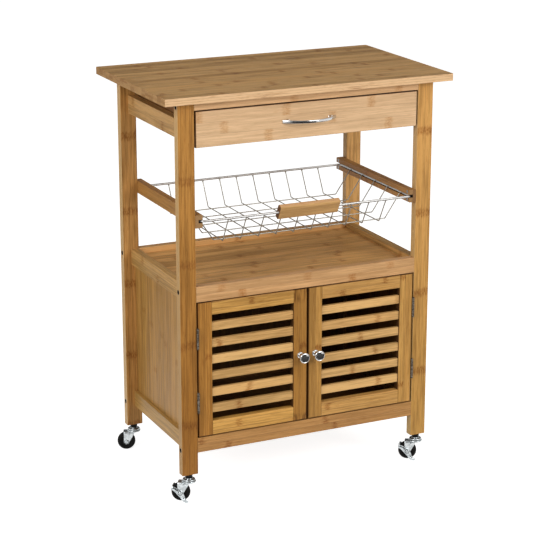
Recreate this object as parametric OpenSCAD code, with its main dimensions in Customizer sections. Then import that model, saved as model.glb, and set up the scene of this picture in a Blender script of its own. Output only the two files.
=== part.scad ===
// Bamboo kitchen trolley on four casters: a table top, a drawer, a wire basket that
// slides on grooved runners, a tray shelf and a cupboard behind two slatted doors.
// X runs along the width, the front is -Y and the floor is z = 0. The modules work
// from the front faces of the legs (y = 0), and placed() moves them to the origin,
// which is the centre of the footprint.

/* [Overall] */
// Height of the table surface above the floor
total_h = 860; // [700:5:1000]
// Width over the outer faces of the legs
frame_w = 575; // [520:5:700]
// Depth over the outer faces of the legs
frame_d = 336; // [300:2:460]

/* [Table top] */
// Thickness of the table top
top_t = 15; // [13:0.5:28]
// How far the top stands out past the legs at each side
top_side_over = 35; // [5:1:60]
// How far the top stands out at the front
top_front_over = 22; // [5:1:50]
// How far the top stands out at the back
top_back_over = 30; // [5:1:60]
// Rounding of the top's four corners, seen from above
top_corner_r = 2.5; // [1:0.5:20]

/* [Legs and rails] */
// Width of a leg, seen from the front
leg_w = 35.5; // [30:0.5:50]
// Depth of a leg, seen from the side
leg_d = 18.5; // [16:0.5:30]
// Height of the legs' lower ends above the floor
leg_z = 60; // [56:1:90]
// Thickness of the rails between the front and the back leg
side_rail_t = 17.7; // [14:0.1:24]
// Height of the side rail beside the drawer
upper_rail_h = 39; // [30:1:60]
// Height of the gap between that rail and the table top
upper_rail_gap = 42; // [20:1:60]
// Height of the side rails of the tray and of the bottom
side_rail_h = 35; // [30:1:50]
// Length of the stub tenon at each end of a side rail
tenon_len = 5.5; // [3:0.5:8]
// Thickness of the stub tenons
tenon_t = 8; // [5:0.5:10]
// Height of the stub tenons
tenon_h = 20; // [12:1:24]
// Rounding along the edges of the legs, rails and boards
edge_r = 1.2; // [0.4:0.2:2.5]
// Height of the front rail above the drawer
front_top_rail_h = 17.5; // [14:0.5:22]
// Height of the back rail under the top
back_top_rail_h = 60; // [30:1:80]

/* [Tray and cupboard] */
// Height of the tray's rims above the floor
tray_z = 465; // [430:5:500]
// Height of the tray's front and back rims
rim_h = 32.5; // [28:0.5:45]
// How far the tray's floor lies below its rims
tray_sink = 12; // [6:0.5:14]
// Thickness of the tray's floor and of the cupboard's floor
floor_t = 8; // [5:0.5:10]
// Height of the bottom aprons' upper edges above the floor
apron_top_z = 138.5; // [130:0.5:170]
// Height of the bottom aprons
apron_h = 32; // [28:0.5:45]
// How far the cupboard's floor lies below the aprons' upper edges
cupboard_sink = 9; // [8:0.5:12]
// Thickness of the side and back panels
panel_t = 6; // [4:0.5:7]
// How far the side panels lie inside the legs' outer faces
side_panel_in = 26; // [22:0.5:27]
// How far the back panel lies inside the back legs' outer faces
back_panel_in = 4.5; // [3:0.5:6]
// Depth of the grooves that hold the floors and panels
groove_deep = 5; // [3:0.5:6]

/* [Drawer] */
// Height of the drawer front
drawer_front_h = 73.5; // [60:0.5:100]
// Thickness of the drawer front
drawer_front_t = 15; // [12:0.5:20]
// Gap round the drawer front
drawer_gap = 3; // [1.5:0.5:5]
// Gap above the drawer front
drawer_top_gap = 2; // [1:0.5:4]
// Height of the drawer's sides
drawer_side_h = 55; // [46:1:58]
// Thickness of the drawer's sides and back
drawer_side_t = 12; // [10:0.5:15]
// Gap between the drawer's back and the back rail under the top
drawer_back_gap = 17.5; // [5:0.5:60]
// Gap between the drawer's sides and the side rails
drawer_side_gap = 4; // [2:0.5:6]
// Thickness of the drawer's bottom
drawer_bottom_t = 4; // [3:0.5:6]
// Height of the runner strips that carry the drawer
drawer_strip_h = 10; // [8:0.5:14]
// How far the runner strips reach into the drawer's sides
drawer_strip_in = 5; // [3:0.5:6]
// Length of the handle
handle_len = 115; // [90:1:190]
// Distance between the handle's screws
handle_span = 96; // [64:4:160]
// How far the handle's bow stands out from the drawer front
handle_reach = 27; // [20:0.5:35]
// Height of the handle's bar
handle_bar_h = 8; // [5:0.5:12]
// Thickness of the handle's bar
handle_bar_t = 4; // [3:0.5:6]

/* [Basket] */
// Height of the middle of the basket runners above the floor
basket_z = 601.5; // [560:0.5:640]
// Height of a basket runner
runner_h = 27; // [22:0.5:36]
// Thickness of a basket runner
runner_t = 16; // [12:0.5:20]
// Depth of the groove along a basket runner
runner_groove = 8; // [6:0.5:9]
// Thickness of the basket's rim wire
rim_d = 5; // [4:0.5:6]
// Thickness of the basket's mesh wires
wire_d = 2.4; // [2:0.1:3]
// How far the rim wire's middle lies inside the runner's groove
rim_in = 3; // [2.5:0.1:3.5]
// How far the side wires run level from the runner before they bend down
wire_level = 3; // [2.5:0.5:6]
// Depth of the basket below its rim
basket_deep = 54; // [35:1:80]
// How far the basket's front and back walls slope in
basket_slope_y = 30; // [15:1:50]
// How far the basket's side walls slope in
basket_slope_x = 41; // [20:1:60]
// Number of wires that run from front to back
long_count = 10; // [4:2:12]
// Distance of the outer ones from the bends of the side walls
long_edge = 18; // [8:1:40]
// Number of wires that run from side to side
cross_count = 5; // [3:1:6]
// How far behind the front wall's foot the first cross wire lies
cross_edge_front = 7; // [4:0.5:40]
// How far before the back wall's foot the last cross wire lies
cross_edge_back = 26; // [4:0.5:60]
// Length of the basket's grip
grip_len = 136; // [90:1:200]
// Height of the grip along the basket's front wall
grip_h = 33; // [24:1:44]
// Thickness of the grip
grip_t = 13; // [11:0.5:18]

/* [Doors] */
// Thickness of the doors
door_t = 16; // [14:0.5:20]
// Gap beside each door, where the hinges lie
door_side_gap = 3; // [3:0.1:4]
// Gap above the doors
door_top_gap = 1.5; // [1:0.5:4]
// Gap below the doors
door_bottom_gap = 2.5; // [1:0.5:5]
// Gap between the two doors
door_mid_gap = 4; // [2:0.5:6]
// Width of the doors' upright stiles
stile_w = 31; // [26:0.5:40]
// Height of the doors' top rails
door_top_rail_h = 28.5; // [22:0.5:36]
// Height of the doors' bottom rails
door_bottom_rail_h = 30.5; // [22:0.5:38]
// Number of slats in each door
slat_count = 6; // [4:1:7]
// Height of a slat
slat_h = 18; // [14:0.5:22]
// Thickness of a slat
slat_t = 9; // [6:0.5:10]
// How far the slats lie behind the doors' front faces
slat_sink = 3; // [2:0.5:4]
// Diameter of a knob's head
knob_d = 23; // [18:0.5:30]
// How far the knobs stand out
knob_reach = 25; // [20:0.5:32]
// Length of the hinges
hinge_h = 44; // [36:1:60]
// Distance of each hinge's middle from the door's middle
hinge_offset = 69.5; // [50:0.5:90]
// Thickness of the hinges' leaves
leaf_t = 1.2; // [1:0.1:1.3]
// Diameter of the hinges' knuckles
knuckle_d = 4.8; // [4.4:0.1:6]
// Diameter of the hinge pins
hinge_pin_d = 2.2; // [1.8:0.1:2.6]

/* [Casters] */
// Diameter of the wheels
wheel_d = 40; // [36:0.5:42]
// Width of the wheels
wheel_w = 15; // [12:0.5:18]
// Distance that a wheel trails behind its stem
trail = 17; // [12:0.5:20]
// Diameter of the stems
stem_d = 8; // [7:0.5:10]
// How far the stems reach into the legs
stem_in = 32; // [20:1:40]
// Diameter of the swivel's two races
race_d = 30; // [26:0.5:34]
// Diameter of the axles
axle_d = 5; // [4:0.5:6]
// Thickness of the forks' sheet steel
fork_t = 1.8; // [1.5:0.1:2.5]
// Thickness of the brake levers' sheet steel
brake_t = 1.5; // [1.2:0.1:2]
// Direction in which the front casters trail, from +X
front_trail_turn = 150; // [0:5:355]
// Direction in which the back casters trail, from +X
back_trail_turn = 162; // [0:1:359]

/* [Fasteners] */
// Diameter of the screws that join the cross members to the legs
joint_screw_d = 5; // [4:0.5:6]
// Length of those screws in the cross members
joint_screw_grip = 34; // [20:1:50]
// Diameter of their heads
joint_head_d = 7.6; // [7:0.1:9]
// How deep those heads are sunk in the legs
joint_head_sink = 3; // [1:0.5:6]
// Diameter of the dowels
dowel_d = 6; // [5:0.5:6]
// Length of the dowels
dowel_len = 28; // [20:1:40]
// Diameter of the small wood screws
wood_screw_d = 3.5; // [3:0.1:4]
// Diameter of the small wood screws' heads
wood_head_d = 7; // [6:0.1:8]

/* [Clearances] */
// Play round a glued, screwed or grooved joint
fit = 0.1; // [0.05:0.01:0.2]
// Radial play of a pin, axle or stem in its bore
running_fit = 0.05; // [0.02:0.01:0.08]
// Play of the drawer on its strips, above and below
slide_play = 0.4; // [0.3:0.1:0.8]
// Play of the basket's rim in its groove, above and below
basket_play = 0.4; // [0.3:0.1:1]

/* [Hidden] */
$fn = 48;

pale = "#E2B878";
honey = "#C98F4A";
caramel = "#B0763A";
steel = "#C9CCCE";
zinc = "#AEB4B8";
black = "#26211E";
// A small overlap where a cut or a joined shape starts flush with a face
eps = 0.01;
// How far a cutting shape runs past the face that it opens
cut = 1;

// Heights and widths of the frame
top_z = total_h - top_t;
leg_x = frame_w / 2;
bay_x = leg_x - leg_w;
bay_d = frame_d - 2 * leg_d;
back_y = frame_d - leg_d;
rail_x = bay_x + side_rail_t;
upper_rail_z = top_z - upper_rail_gap - upper_rail_h;
tray_rail_z = tray_z - side_rail_h;
bottom_rail_z = apron_top_z - side_rail_h;
rim_z = tray_z - rim_h;
apron_z = apron_top_z - apron_h;
tray_floor_z = tray_z - tray_sink - floor_t;
cupboard_floor_z = apron_top_z - cupboard_sink - floor_t;
panel_x = leg_x - side_panel_in;
back_panel_y = frame_d - back_panel_in - panel_t;
front_reach = max(top_front_over, handle_reach, knob_reach);
mid_y = (frame_d + top_back_over - front_reach) / 2;

// Screw and dowel heights in the cross members, as [screw, dowel], low to high
joint_share = 0.25;
apron_joint = [apron_z + joint_share * apron_h, apron_top_z - joint_share * apron_h];
rim_joint = [tray_z - joint_share * rim_h, rim_z + joint_share * rim_h];
top_joint_z = top_z - front_top_rail_h / 2;
top_dowel_z = top_z - back_top_rail_h + dowel_d;
joint_head_h = 4;
joint_ys = [leg_d / 2, frame_d - leg_d / 2];

// Drawer
drawer_x = bay_x - drawer_gap;
drawer_top_z = top_z - front_top_rail_h - drawer_top_gap;
drawer_z = drawer_top_z - drawer_front_h;
drawer_side_x = bay_x - drawer_side_gap;
drawer_in_x = drawer_side_x - drawer_side_t;
drawer_side_up = 6;
drawer_bottom_up = 5;
drawer_side_z = drawer_z + drawer_side_up;
drawer_bottom_z = drawer_side_z + drawer_bottom_up;
drawer_back_y = back_y - drawer_back_gap;
drawer_side_len = drawer_back_y - drawer_front_t;
strip_z = upper_rail_z + upper_rail_h / 2 - drawer_strip_h / 2;
strip_end_gap = 2;
strip_y = leg_d + strip_end_gap;
strip_len = bay_d - 6 * strip_end_gap;
strip_screw_in = 15;
strip_screw_d = 3;
strip_x = drawer_side_x - drawer_strip_in;
handle_z = drawer_z + drawer_front_h / 2;
handle_foot_d = 8;
handle_edge_r = 0.35 * handle_bar_t;
handle_screw_xs = [-1, 1] * handle_span / 2;
handle_bow = handle_reach - handle_bar_t;
handle_half_len = handle_len / 2 - handle_bar_t / 2;
handle_r = (pow(handle_half_len, 2) + pow(handle_bow, 2)) / (2 * handle_bow);
handle_half_angle = asin(handle_half_len / handle_r);
handle_mid_y = handle_r - handle_bow - handle_bar_t / 2;
metal_screw_d = 4;
metal_head_d = 8;
metal_head_h = 2.4;

// Basket
runner_x = bay_x - runner_t;
runner_z = basket_z - runner_h / 2;
groove_h = rim_d + 2 * basket_play;
rim_x = runner_x + rim_in;
rim_front_y = -1;
rim_back_y = back_y + 2.5;
rim_mid_y = (rim_front_y + rim_back_y) / 2;
rim_corner_r = 9;
wire_low_z = basket_z - basket_deep;
runner_screw_dz = (groove_h + runner_h) / 4;
wall_a = atan2(basket_slope_y, basket_deep);
elbow_swell = 1.08;
weld = 0.1;
grip_up = 15;
grip_in = 9;
grip_edge_r = 4;

// Doors
door_z = apron_top_z + door_bottom_gap;
door_h = rim_z - door_top_gap - door_z;
door_out_x = bay_x - door_side_gap;
door_w = door_out_x - door_mid_gap / 2;
door_mid_z = door_z + door_h / 2;
stile_tenon = 6;
slat_gap = (door_h - door_top_rail_h - door_bottom_rail_h - slat_count * slat_h) / (slat_count + 1);
slat_edge_r = 1;
knob_x = door_mid_gap / 2 + stile_w / 2;
pin_x = bay_x - door_side_gap / 2;
knuckle_gap = 0.25;
pin_y = -sqrt(pow(knuckle_d / 2 + knuckle_gap, 2) - pow(door_side_gap / 2, 2));
leaf_start_y = pin_y + knuckle_d / 2 + knuckle_gap;
leaf_w = 14;
knuckle_h = hinge_h / 3;
hinge_pin_out = 0.4;
hinge_screw_d = 2.5;
hinge_head_d = hinge_screw_d + 2 * leaf_t;
hinge_screw_len = 13;
hinge_screw_y = leaf_w / 2 + 1;
hinge_screw_dz = hinge_h / 2 - 8;
striker_t = 0.8;
striker_h = 11;
catch_x = door_mid_gap / 2 + 21;
catch_w = 20;
catch_d = 13;
catch_h = 29;
catch_lug_w = 9;
catch_lug_h = 3;
catch_screw_d = 2.5;
catch_nose_h = 9;

// Casters
axle_z = wheel_d / 2;
crown_z = wheel_d + 1.2;
lower_race_h = 3.2;
race_gap = 0.4;
rivet_h = 2;
rivet_gap = 0.3;
lower_race_z = crown_z + fork_t;
upper_race_z = lower_race_z + lower_race_h + race_gap;
upper_race_h = 4.6;
fork_in = wheel_w / 2 + 1.1;
fork_out = fork_in + fork_t;
fork_end_r = 6;
fork_heel = 2;
axle_head_d = axle_d + 2.5;
axle_head_h = 1.2;
hub_gap = 0.3;
hub_wall = 3.5;
brake_in = fork_out + 0.5;
brake_out = brake_in + brake_t;
stem_xs = leg_x - leg_w / 2;
front_stem_y = leg_d / 2;
back_stem_y = frame_d - leg_d / 2;

// ---- helpers ----

module placed() {
    translate([0, -mid_y, 0]) children();
}

// The right-hand copy of a left-hand piece, or the piece itself
module on_side(right) {
    if (right) mirror([1, 0, 0]) children();
    else children();
}

module both_sides() {
    children();
    mirror([1, 0, 0]) children();
}

// The back copy of a piece made at the front leg
module at_back(is_back) {
    if (is_back) translate([0, frame_d, 0]) mirror([0, 1, 0]) children();
    else children();
}

module rounded_rect(size, r) {
    translate([r, 0]) square([size.x - 2 * r, size.y]);
    translate([0, r]) square([size.x, size.y - 2 * r]);
    for (x = [r, size.x - r], y = [r, size.y - r]) translate([x, y]) circle(r);
}

// A board with eased long edges, from its lowest corner, with its grain along one axis
module board(from, size, along, r = edge_r) {
    translate(from) {
        if (along == "x") {
            rotate([90, 0, 90]) linear_extrude(size.x) rounded_rect([size.y, size.z], r);
        } else if (along == "y") {
            translate([0, size.y, 0]) rotate([90, 0, 0])
                linear_extrude(size.y) rounded_rect([size.x, size.z], r);
        } else {
            linear_extrude(size.z) rounded_rect([size.x, size.y], r);
        }
    }
}

module block(from, size) {
    translate(from) cube(size);
}

// A round rod that starts at a point and runs in the positive direction of one axis
module rod(from, d, len, axis) {
    turn = axis == "x" ? [0, 90, 0] : axis == "y" ? [-90, 0, 0] : [0, 0, 0];
    translate(from) rotate(turn) cylinder(d = d, h = len);
}

// A countersunk wood screw along +X, its flat head at the start
module sunk_screw(from, d, head_d, len) {
    head_h = (head_d - d) / 2;
    translate(from) rotate([0, 90, 0]) {
        cylinder(d1 = head_d, d2 = d, h = head_h);
        cylinder(d = d, h = len);
    }
}

// ---- frame ----

module table_top() color(pale) placed() {
    difference() {
        board([-leg_x - top_side_over, -top_front_over, top_z],
            [frame_w + 2 * top_side_over, frame_d + top_front_over + top_back_over, top_t],
            "z", top_corner_r);
        top_screws(fit);
    }
}

// The joint screws and dowels of the left end of every cross member, playn by play
module left_joint_screws(play = 0) {
    for (y = joint_ys, z = [apron_joint[0], rim_joint[0], top_joint_z]) {
        rod([-leg_x + joint_head_sink - play, y, z], joint_head_d + 2 * play,
            joint_head_h + 2 * play, "x");
        rod([-leg_x + joint_head_sink, y, z], joint_screw_d + 2 * play,
            leg_w - joint_head_sink + joint_screw_grip + play, "x");
    }
}

module left_dowels(play = 0) {
    for (at = [[joint_ys[0], apron_joint[1]], [joint_ys[1], apron_joint[1]],
               [joint_ys[0], rim_joint[1]], [joint_ys[1], rim_joint[1]],
               [joint_ys[1], top_dowel_z]]) {
        rod([-bay_x - dowel_len / 2 - play, at[0], at[1]], dowel_d + 2 * play,
            dowel_len + 2 * play, "x");
    }
}

// Screws that hold the top from below, through the front and back top rails
top_screw_xs = [-1, 0, 1] * 0.8 * bay_x;
top_screw_d = 4;
top_screw_len = 24;
top_screw_head_d = 8;
top_screw_head_h = 2.4;
top_screw_z = top_z + 0.6 * top_t - top_screw_len;
module top_screws(play = 0) {
    for (x = top_screw_xs, y = joint_ys) {
        rod([x, y, top_screw_z], top_screw_d + 2 * play, top_screw_len + play, "z");
        rod([x, y, top_screw_z - play], top_screw_head_d + 2 * play, top_screw_head_h + 2 * play, "z");
    }
}

// Open bores below the heads of those screws, through a rail of height h
module top_screw_access(h) {
    for (x = top_screw_xs, y = joint_ys) {
        rod([x, y, top_z - h - cut], top_screw_head_d + 2 * fit, top_screw_z + h + cut - top_z, "z");
    }
}

// Screws of the basket runners and of the drawer strips, for the left side
module left_runner_screws(play = 0) {
    for (y = joint_ys, dz = [-runner_screw_dz, runner_screw_dz]) {
        mirror([1, 0, 0]) sunk_screw([runner_x - eps, y, basket_z + dz],
            wood_screw_d + 2 * play, wood_head_d + 2 * play, runner_t + leg_w / 2 + play);
    }
}

module left_strip_screws(play = 0) {
    for (y = [strip_y + strip_screw_in, strip_y + strip_len / 2, strip_y + strip_len - strip_screw_in]) {
        mirror([1, 0, 0]) sunk_screw([strip_x - eps, y, strip_z + drawer_strip_h / 2],
            strip_screw_d + 2 * play, 2 * strip_screw_d + 2 * play,
            bay_x - strip_x + side_rail_t * 0.7 + play);
    }
}

module left_hinge_screws(play = 0) {
    for (side = [-1, 1], dz = [-1, 1]) {
        mirror([1, 0, 0]) sunk_screw(
            [bay_x - leaf_t, hinge_screw_y, door_mid_z + side * hinge_offset + dz * hinge_screw_dz],
            hinge_screw_d + 2 * play, hinge_head_d + 2 * play, hinge_screw_len + play);
    }
}

module left_stem_bore(y) {
    rod([-stem_xs, y, leg_z - eps], stem_d + 2 * fit, stem_in + fit, "z");
}

// A side panel, or with play the grooves that it leaves in the legs and rails
module side_panel_body(play) {
    block([-panel_x - play, leg_d - groove_deep - play, apron_top_z - groove_deep - play],
        [panel_t + 2 * play, bay_d + 2 * groove_deep + 2 * play,
         tray_rail_z - apron_top_z + 2 * groove_deep + 2 * play]);
}

module back_panel_body(play) {
    block([-bay_x - groove_deep - play, back_panel_y - play, apron_top_z - groove_deep - play],
        [2 * (bay_x + groove_deep + play), panel_t + 2 * play,
         rim_z - apron_top_z + 2 * groove_deep + 2 * play]);
}

// The stub tenon of a side rail at the front leg, at the rail's mid height
module side_tenon(mid_z, play) {
    block([-bay_x - side_rail_t / 2 - tenon_t / 2 - play, leg_d - tenon_len - play,
           mid_z - tenon_h / 2 - play],
        [tenon_t + 2 * play, tenon_len + play + cut, tenon_h + 2 * play]);
}

upper_mid_z = upper_rail_z + upper_rail_h / 2;
tray_mid_z = tray_rail_z + side_rail_h / 2;
bottom_mid_z = bottom_rail_z + side_rail_h / 2;

module left_leg(is_back) {
    difference() {
        board([-leg_x, is_back ? back_y : 0, leg_z], [leg_w, leg_d, top_z - leg_z], "z");
        left_joint_screws(fit);
        for (y = joint_ys, z = [apron_joint[0], rim_joint[0], top_joint_z]) {
            rod([-leg_x - cut, y, z], joint_head_d + 2 * fit, joint_head_sink + cut, "x");
        }
        left_dowels(fit);
        left_runner_screws(fit);
        left_stem_bore(front_stem_y);
        left_stem_bore(back_stem_y);
        side_panel_body(fit);
        at_back(is_back) {
            for (z = [upper_mid_z, tray_mid_z, bottom_mid_z]) side_tenon(z, fit);
        }
        if (is_back) back_panel_body(fit);
        else left_hinge_screws(fit);
    }
}

module leg_front_left() color(honey) placed() left_leg(false);
module leg_front_right() color(honey) placed() on_side(true) left_leg(false);
module leg_back_left() color(honey) placed() left_leg(true);
module leg_back_right() color(honey) placed() on_side(true) left_leg(true);

// A side rail with its two tenons, from its lower edge
module left_side_rail(low_z, h) {
    board([-rail_x, leg_d, low_z], [side_rail_t, bay_d, h], "y");
    for (is_back = [false, true]) at_back(is_back) side_tenon(low_z + h / 2, 0);
}

module left_upper_rail() {
    difference() {
        left_side_rail(upper_rail_z, upper_rail_h);
        left_strip_screws(fit);
    }
}

module left_tray_rail() {
    difference() {
        left_side_rail(tray_rail_z, side_rail_h);
        side_panel_body(fit);
        tray_floor_body(fit);
    }
}

module left_bottom_rail() {
    difference() {
        left_side_rail(bottom_rail_z, side_rail_h);
        side_panel_body(fit);
        cupboard_floor_body(fit);
    }
}

module upper_rail_left() color(pale) placed() left_upper_rail();
module upper_rail_right() color(pale) placed() on_side(true) left_upper_rail();
module tray_rail_left() color(honey) placed() left_tray_rail();
module tray_rail_right() color(honey) placed() on_side(true) left_tray_rail();
module bottom_rail_left() color(pale) placed() left_bottom_rail();
module bottom_rail_right() color(pale) placed() on_side(true) left_bottom_rail();
module side_panel_left() color(honey) placed() side_panel_body(0);
module side_panel_right() color(honey) placed() on_side(true) side_panel_body(0);

// A floor board that reaches into the grooves of the rails and rims, with its corners
// notched round the legs, or with play the grooves that it leaves in them
module floor_body(low_z, play) {
    notch = play > 0 ? -play : fit;
    block([-bay_x - groove_deep - play, leg_d + notch, low_z - play],
        [2 * (bay_x + groove_deep + play), bay_d - 2 * notch, floor_t + 2 * play]);
    block([-bay_x + notch, leg_d - groove_deep - play, low_z - play],
        [2 * (bay_x - notch), bay_d + 2 * (groove_deep + play), floor_t + 2 * play]);
}

module tray_floor_body(play) floor_body(tray_floor_z, play);
module cupboard_floor_body(play) floor_body(cupboard_floor_z, play);

module tray_floor() color(caramel) placed() difference() {
    tray_floor_body(0);
    both_sides() left_catch_screws(fit);
}
module cupboard_floor() color(caramel) placed() cupboard_floor_body(0);
module back_panel() color(caramel) placed() back_panel_body(0);

// A cross member between the legs, with the screw and dowel bores of both ends
module cross_member(is_back, low_z, h) {
    difference() {
        board([-bay_x + fit / 2, is_back ? back_y : 0, low_z], [2 * bay_x - fit, leg_d, h], "x");
        both_sides() {
            left_joint_screws(fit);
            left_dowels(fit);
        }
        tray_floor_body(fit);
        cupboard_floor_body(fit);
        if (is_back) back_panel_body(fit);
    }
}

module top_rail_front() color(pale) placed() difference() {
    cross_member(false, top_z - front_top_rail_h, front_top_rail_h);
    top_screws(fit);
    top_screw_access(front_top_rail_h);
}

module top_rail_back() color(honey) placed() difference() {
    cross_member(true, top_z - back_top_rail_h, back_top_rail_h);
    top_screws(fit);
    top_screw_access(back_top_rail_h);
}

module tray_rim_front() color(pale) placed() cross_member(false, rim_z, rim_h);
module tray_rim_back() color(honey) placed() cross_member(true, rim_z, rim_h);
module apron_front() color(pale) placed() cross_member(false, apron_z, apron_h);
module apron_back() color(honey) placed() cross_member(true, apron_z, apron_h);

// ---- runners ----

module left_drawer_strip() {
    difference() {
        block([-bay_x, strip_y, strip_z], [bay_x - strip_x, strip_len, drawer_strip_h]);
        left_strip_screws(fit);
    }
}

module drawer_strip_left() color(honey) placed() left_drawer_strip();
module drawer_strip_right() color(honey) placed() on_side(true) left_drawer_strip();

module left_basket_runner() {
    difference() {
        board([-bay_x, 0, runner_z], [runner_t, frame_d, runner_h], "y");
        block([-runner_x - runner_groove, -cut, basket_z - groove_h / 2],
            [runner_groove + cut, frame_d + 2 * cut, groove_h]);
        left_runner_screws(fit);
    }
}

module basket_runner_left() color(honey) placed() left_basket_runner();
module basket_runner_right() color(honey) placed() on_side(true) left_basket_runner();

module frame_screws() color(steel) placed() {
    both_sides() {
        left_joint_screws();
        left_runner_screws();
        left_strip_screws();
        left_hinge_screws();
        left_catch_screws();
    }
    top_screws();
}

module frame_dowels() color(pale) placed() both_sides() left_dowels();

// ---- drawer ----

// The drawer bottom, in the grooves of the front and the sides and under the back
module drawer_bottom_body(play) {
    reach = drawer_side_t / 2;
    block([-drawer_in_x - reach - play, drawer_front_t - reach - play, drawer_bottom_z - play],
        [2 * (drawer_in_x + reach + play), drawer_side_len + reach + 2 * play,
         drawer_bottom_t + 2 * play]);
}

module handle_screw_bores(d) {
    for (x = handle_screw_xs) rod([x, -cut, handle_z], d, drawer_front_t + 2 * cut, "y");
}

module drawer_front() color(pale) placed() difference() {
    board([-drawer_x, 0, drawer_z], [2 * drawer_x, drawer_front_t, drawer_front_h], "x");
    drawer_bottom_body(fit);
    handle_screw_bores(metal_screw_d + 2 * fit);
}

module left_drawer_side() {
    difference() {
        board([-drawer_side_x, drawer_front_t + fit, drawer_side_z],
            [drawer_side_t, drawer_side_len - fit, drawer_side_h], "y");
        drawer_bottom_body(fit);
        block([-drawer_side_x - cut, drawer_front_t - cut, strip_z - slide_play],
            [cut + drawer_strip_in + slide_play, drawer_side_len + 2 * cut,
             drawer_strip_h + 2 * slide_play]);
    }
}

module drawer_side_left() color(pale) placed() left_drawer_side();
module drawer_side_right() color(pale) placed() on_side(true) left_drawer_side();

module drawer_back() color(pale) placed() {
    low_z = drawer_bottom_z + drawer_bottom_t + fit;
    board([-drawer_in_x + fit, drawer_back_y - drawer_side_t, low_z],
        [2 * (drawer_in_x - fit), drawer_side_t, drawer_side_z + drawer_side_h - low_z], "x");
}

module drawer_bottom() color(caramel) placed() drawer_bottom_body(0);

// The bow of the handle is an arc whose ends touch the drawer front, on two posts that
// take the screws
module drawer_handle() color(steel) placed() translate([0, 0, handle_z]) {
    post_len = sqrt(pow(handle_r, 2) - pow(handle_span / 2, 2)) - handle_mid_y;
    screw_end = post_len - handle_bar_t / 4;
    difference() {
        union() {
            translate([0, handle_mid_y, 0])
                rotate([0, 0, 270 - handle_half_angle]) rotate_extrude(angle = 2 * handle_half_angle)
                    translate([handle_r - handle_bar_t / 2, -handle_bar_h / 2])
                        rounded_rect([handle_bar_t, handle_bar_h], handle_edge_r);
            for (x = handle_screw_xs) {
                rod([x, -post_len, 0], handle_foot_d, post_len, "y");
            }
        }
        for (x = handle_screw_xs) {
            rod([x, -screw_end - fit, 0], metal_screw_d + 2 * fit, screw_end + fit + cut, "y");
        }
        block([-handle_len, 0, -handle_bar_h], [2 * handle_len, handle_r, 2 * handle_bar_h]);
    }
    for (x = handle_screw_xs) {
        rod([x, -screw_end, 0], metal_screw_d, screw_end + drawer_front_t + cut, "y");
        rod([x, drawer_front_t + fit, 0], metal_head_d, metal_head_h, "y");
    }
}

// ---- basket ----

// A quarter of the rim, from the middle of the front to the middle of the left side
module rim_quarter() {
    rod([-rim_x + rim_corner_r, rim_front_y, basket_z], rim_d, rim_x - rim_corner_r, "x");
    rod([-rim_x, rim_front_y + rim_corner_r, basket_z], rim_d,
        rim_mid_y - rim_front_y - rim_corner_r, "y");
    translate([-rim_x + rim_corner_r, rim_front_y + rim_corner_r, basket_z])
        rotate([0, 0, 180]) rotate_extrude(angle = 90) translate([rim_corner_r, 0]) circle(d = rim_d);
}

module basket_rim() color(steel) placed() both_sides() {
    rim_quarter();
    translate([0, 2 * rim_mid_y, 0]) mirror([0, 1, 0]) rim_quarter();
}

// Half of a mesh wire in the X-Z plane: from the middle of the bottom out, up the wall
// and level to the rim. half is the distance to the rim's middle, slope how far the wall
// leans in and level the length of the level end.
module half_wire(half, slope, low_z, level) {
    rise = basket_z - low_z;
    lean = slope - level;
    to_rim = rim_d / 2 - weld;
    rod([0, 0, low_z], wire_d, half - slope, "x");
    translate([half - slope, 0, low_z]) {
        sphere(d = wire_d * elbow_swell);
        rotate([0, atan2(lean, rise), 0])
            cylinder(d = wire_d, h = norm([rise, lean]) - (level > 0 ? 0 : to_rim));
    }
    if (level > 0) {
        translate([half - level, 0, basket_z]) sphere(d = wire_d * elbow_swell);
        rod([half - level, 0, basket_z], wire_d, level - to_rim, "x");
    }
}

module full_wire(half, slope, low_z, level = 0) {
    half_wire(half, slope, low_z, level);
    mirror([1, 0, 0]) half_wire(half, slope, low_z, level);
}

// The middles of count wires spread evenly between two limits
function spread(from, to, count) = [for (i = [0 : count - 1]) from + i * (to - from) / (count - 1)];

long_x = rim_x - basket_slope_x - long_edge;
long_xs = spread(-long_x, long_x, long_count);
cross_ys = spread(rim_front_y + basket_slope_y + cross_edge_front,
    rim_back_y - basket_slope_y - cross_edge_back, cross_count);

module long_wires() {
    for (x = long_xs) translate([x, rim_mid_y, 0]) rotate([0, 0, 90])
        full_wire((rim_back_y - rim_front_y) / 2, basket_slope_y, wire_low_z);
}

module basket_long_wires() color(steel) placed() long_wires();

// These lie on the long wires, inside the basket
module basket_cross_wires() color(steel) placed() {
    for (y = cross_ys) translate([0, y, 0])
        full_wire(rim_x, basket_slope_x, wire_low_z + wire_d, rim_in + wire_level);
}

// The grip lies along the front wall round the rim, with a slot for each wire behind it
module basket_grip() color(honey) placed() {
    translate([0, rim_front_y, basket_z]) rotate([wall_a, 0, 0]) difference() {
        board([-grip_len / 2, grip_in - grip_t, grip_up - grip_h], [grip_len, grip_t, grip_h],
            "x", grip_edge_r);
        rod([-grip_len / 2 - cut, 0, 0], rim_d + 2 * fit, grip_len + 2 * cut, "x");
        for (x = long_xs) {
            block([x - wire_d / 2 - fit, -wire_d, -grip_h], [wire_d + 2 * fit, grip_t + wire_d, grip_h]);
        }
    }
}

// ---- doors, made as the left one ----

module left_slats(play) {
    span = door_w - 2 * stile_w + 2 * stile_tenon;
    for (i = [0 : slat_count - 1]) {
        low_z = door_z + door_bottom_rail_h + slat_gap + i * (slat_h + slat_gap);
        board([-door_out_x + stile_w - stile_tenon - play, slat_sink - play, low_z - play],
            [span + 2 * play, slat_t + 2 * play, slat_h + 2 * play], "x", slat_edge_r);
    }
}

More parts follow.
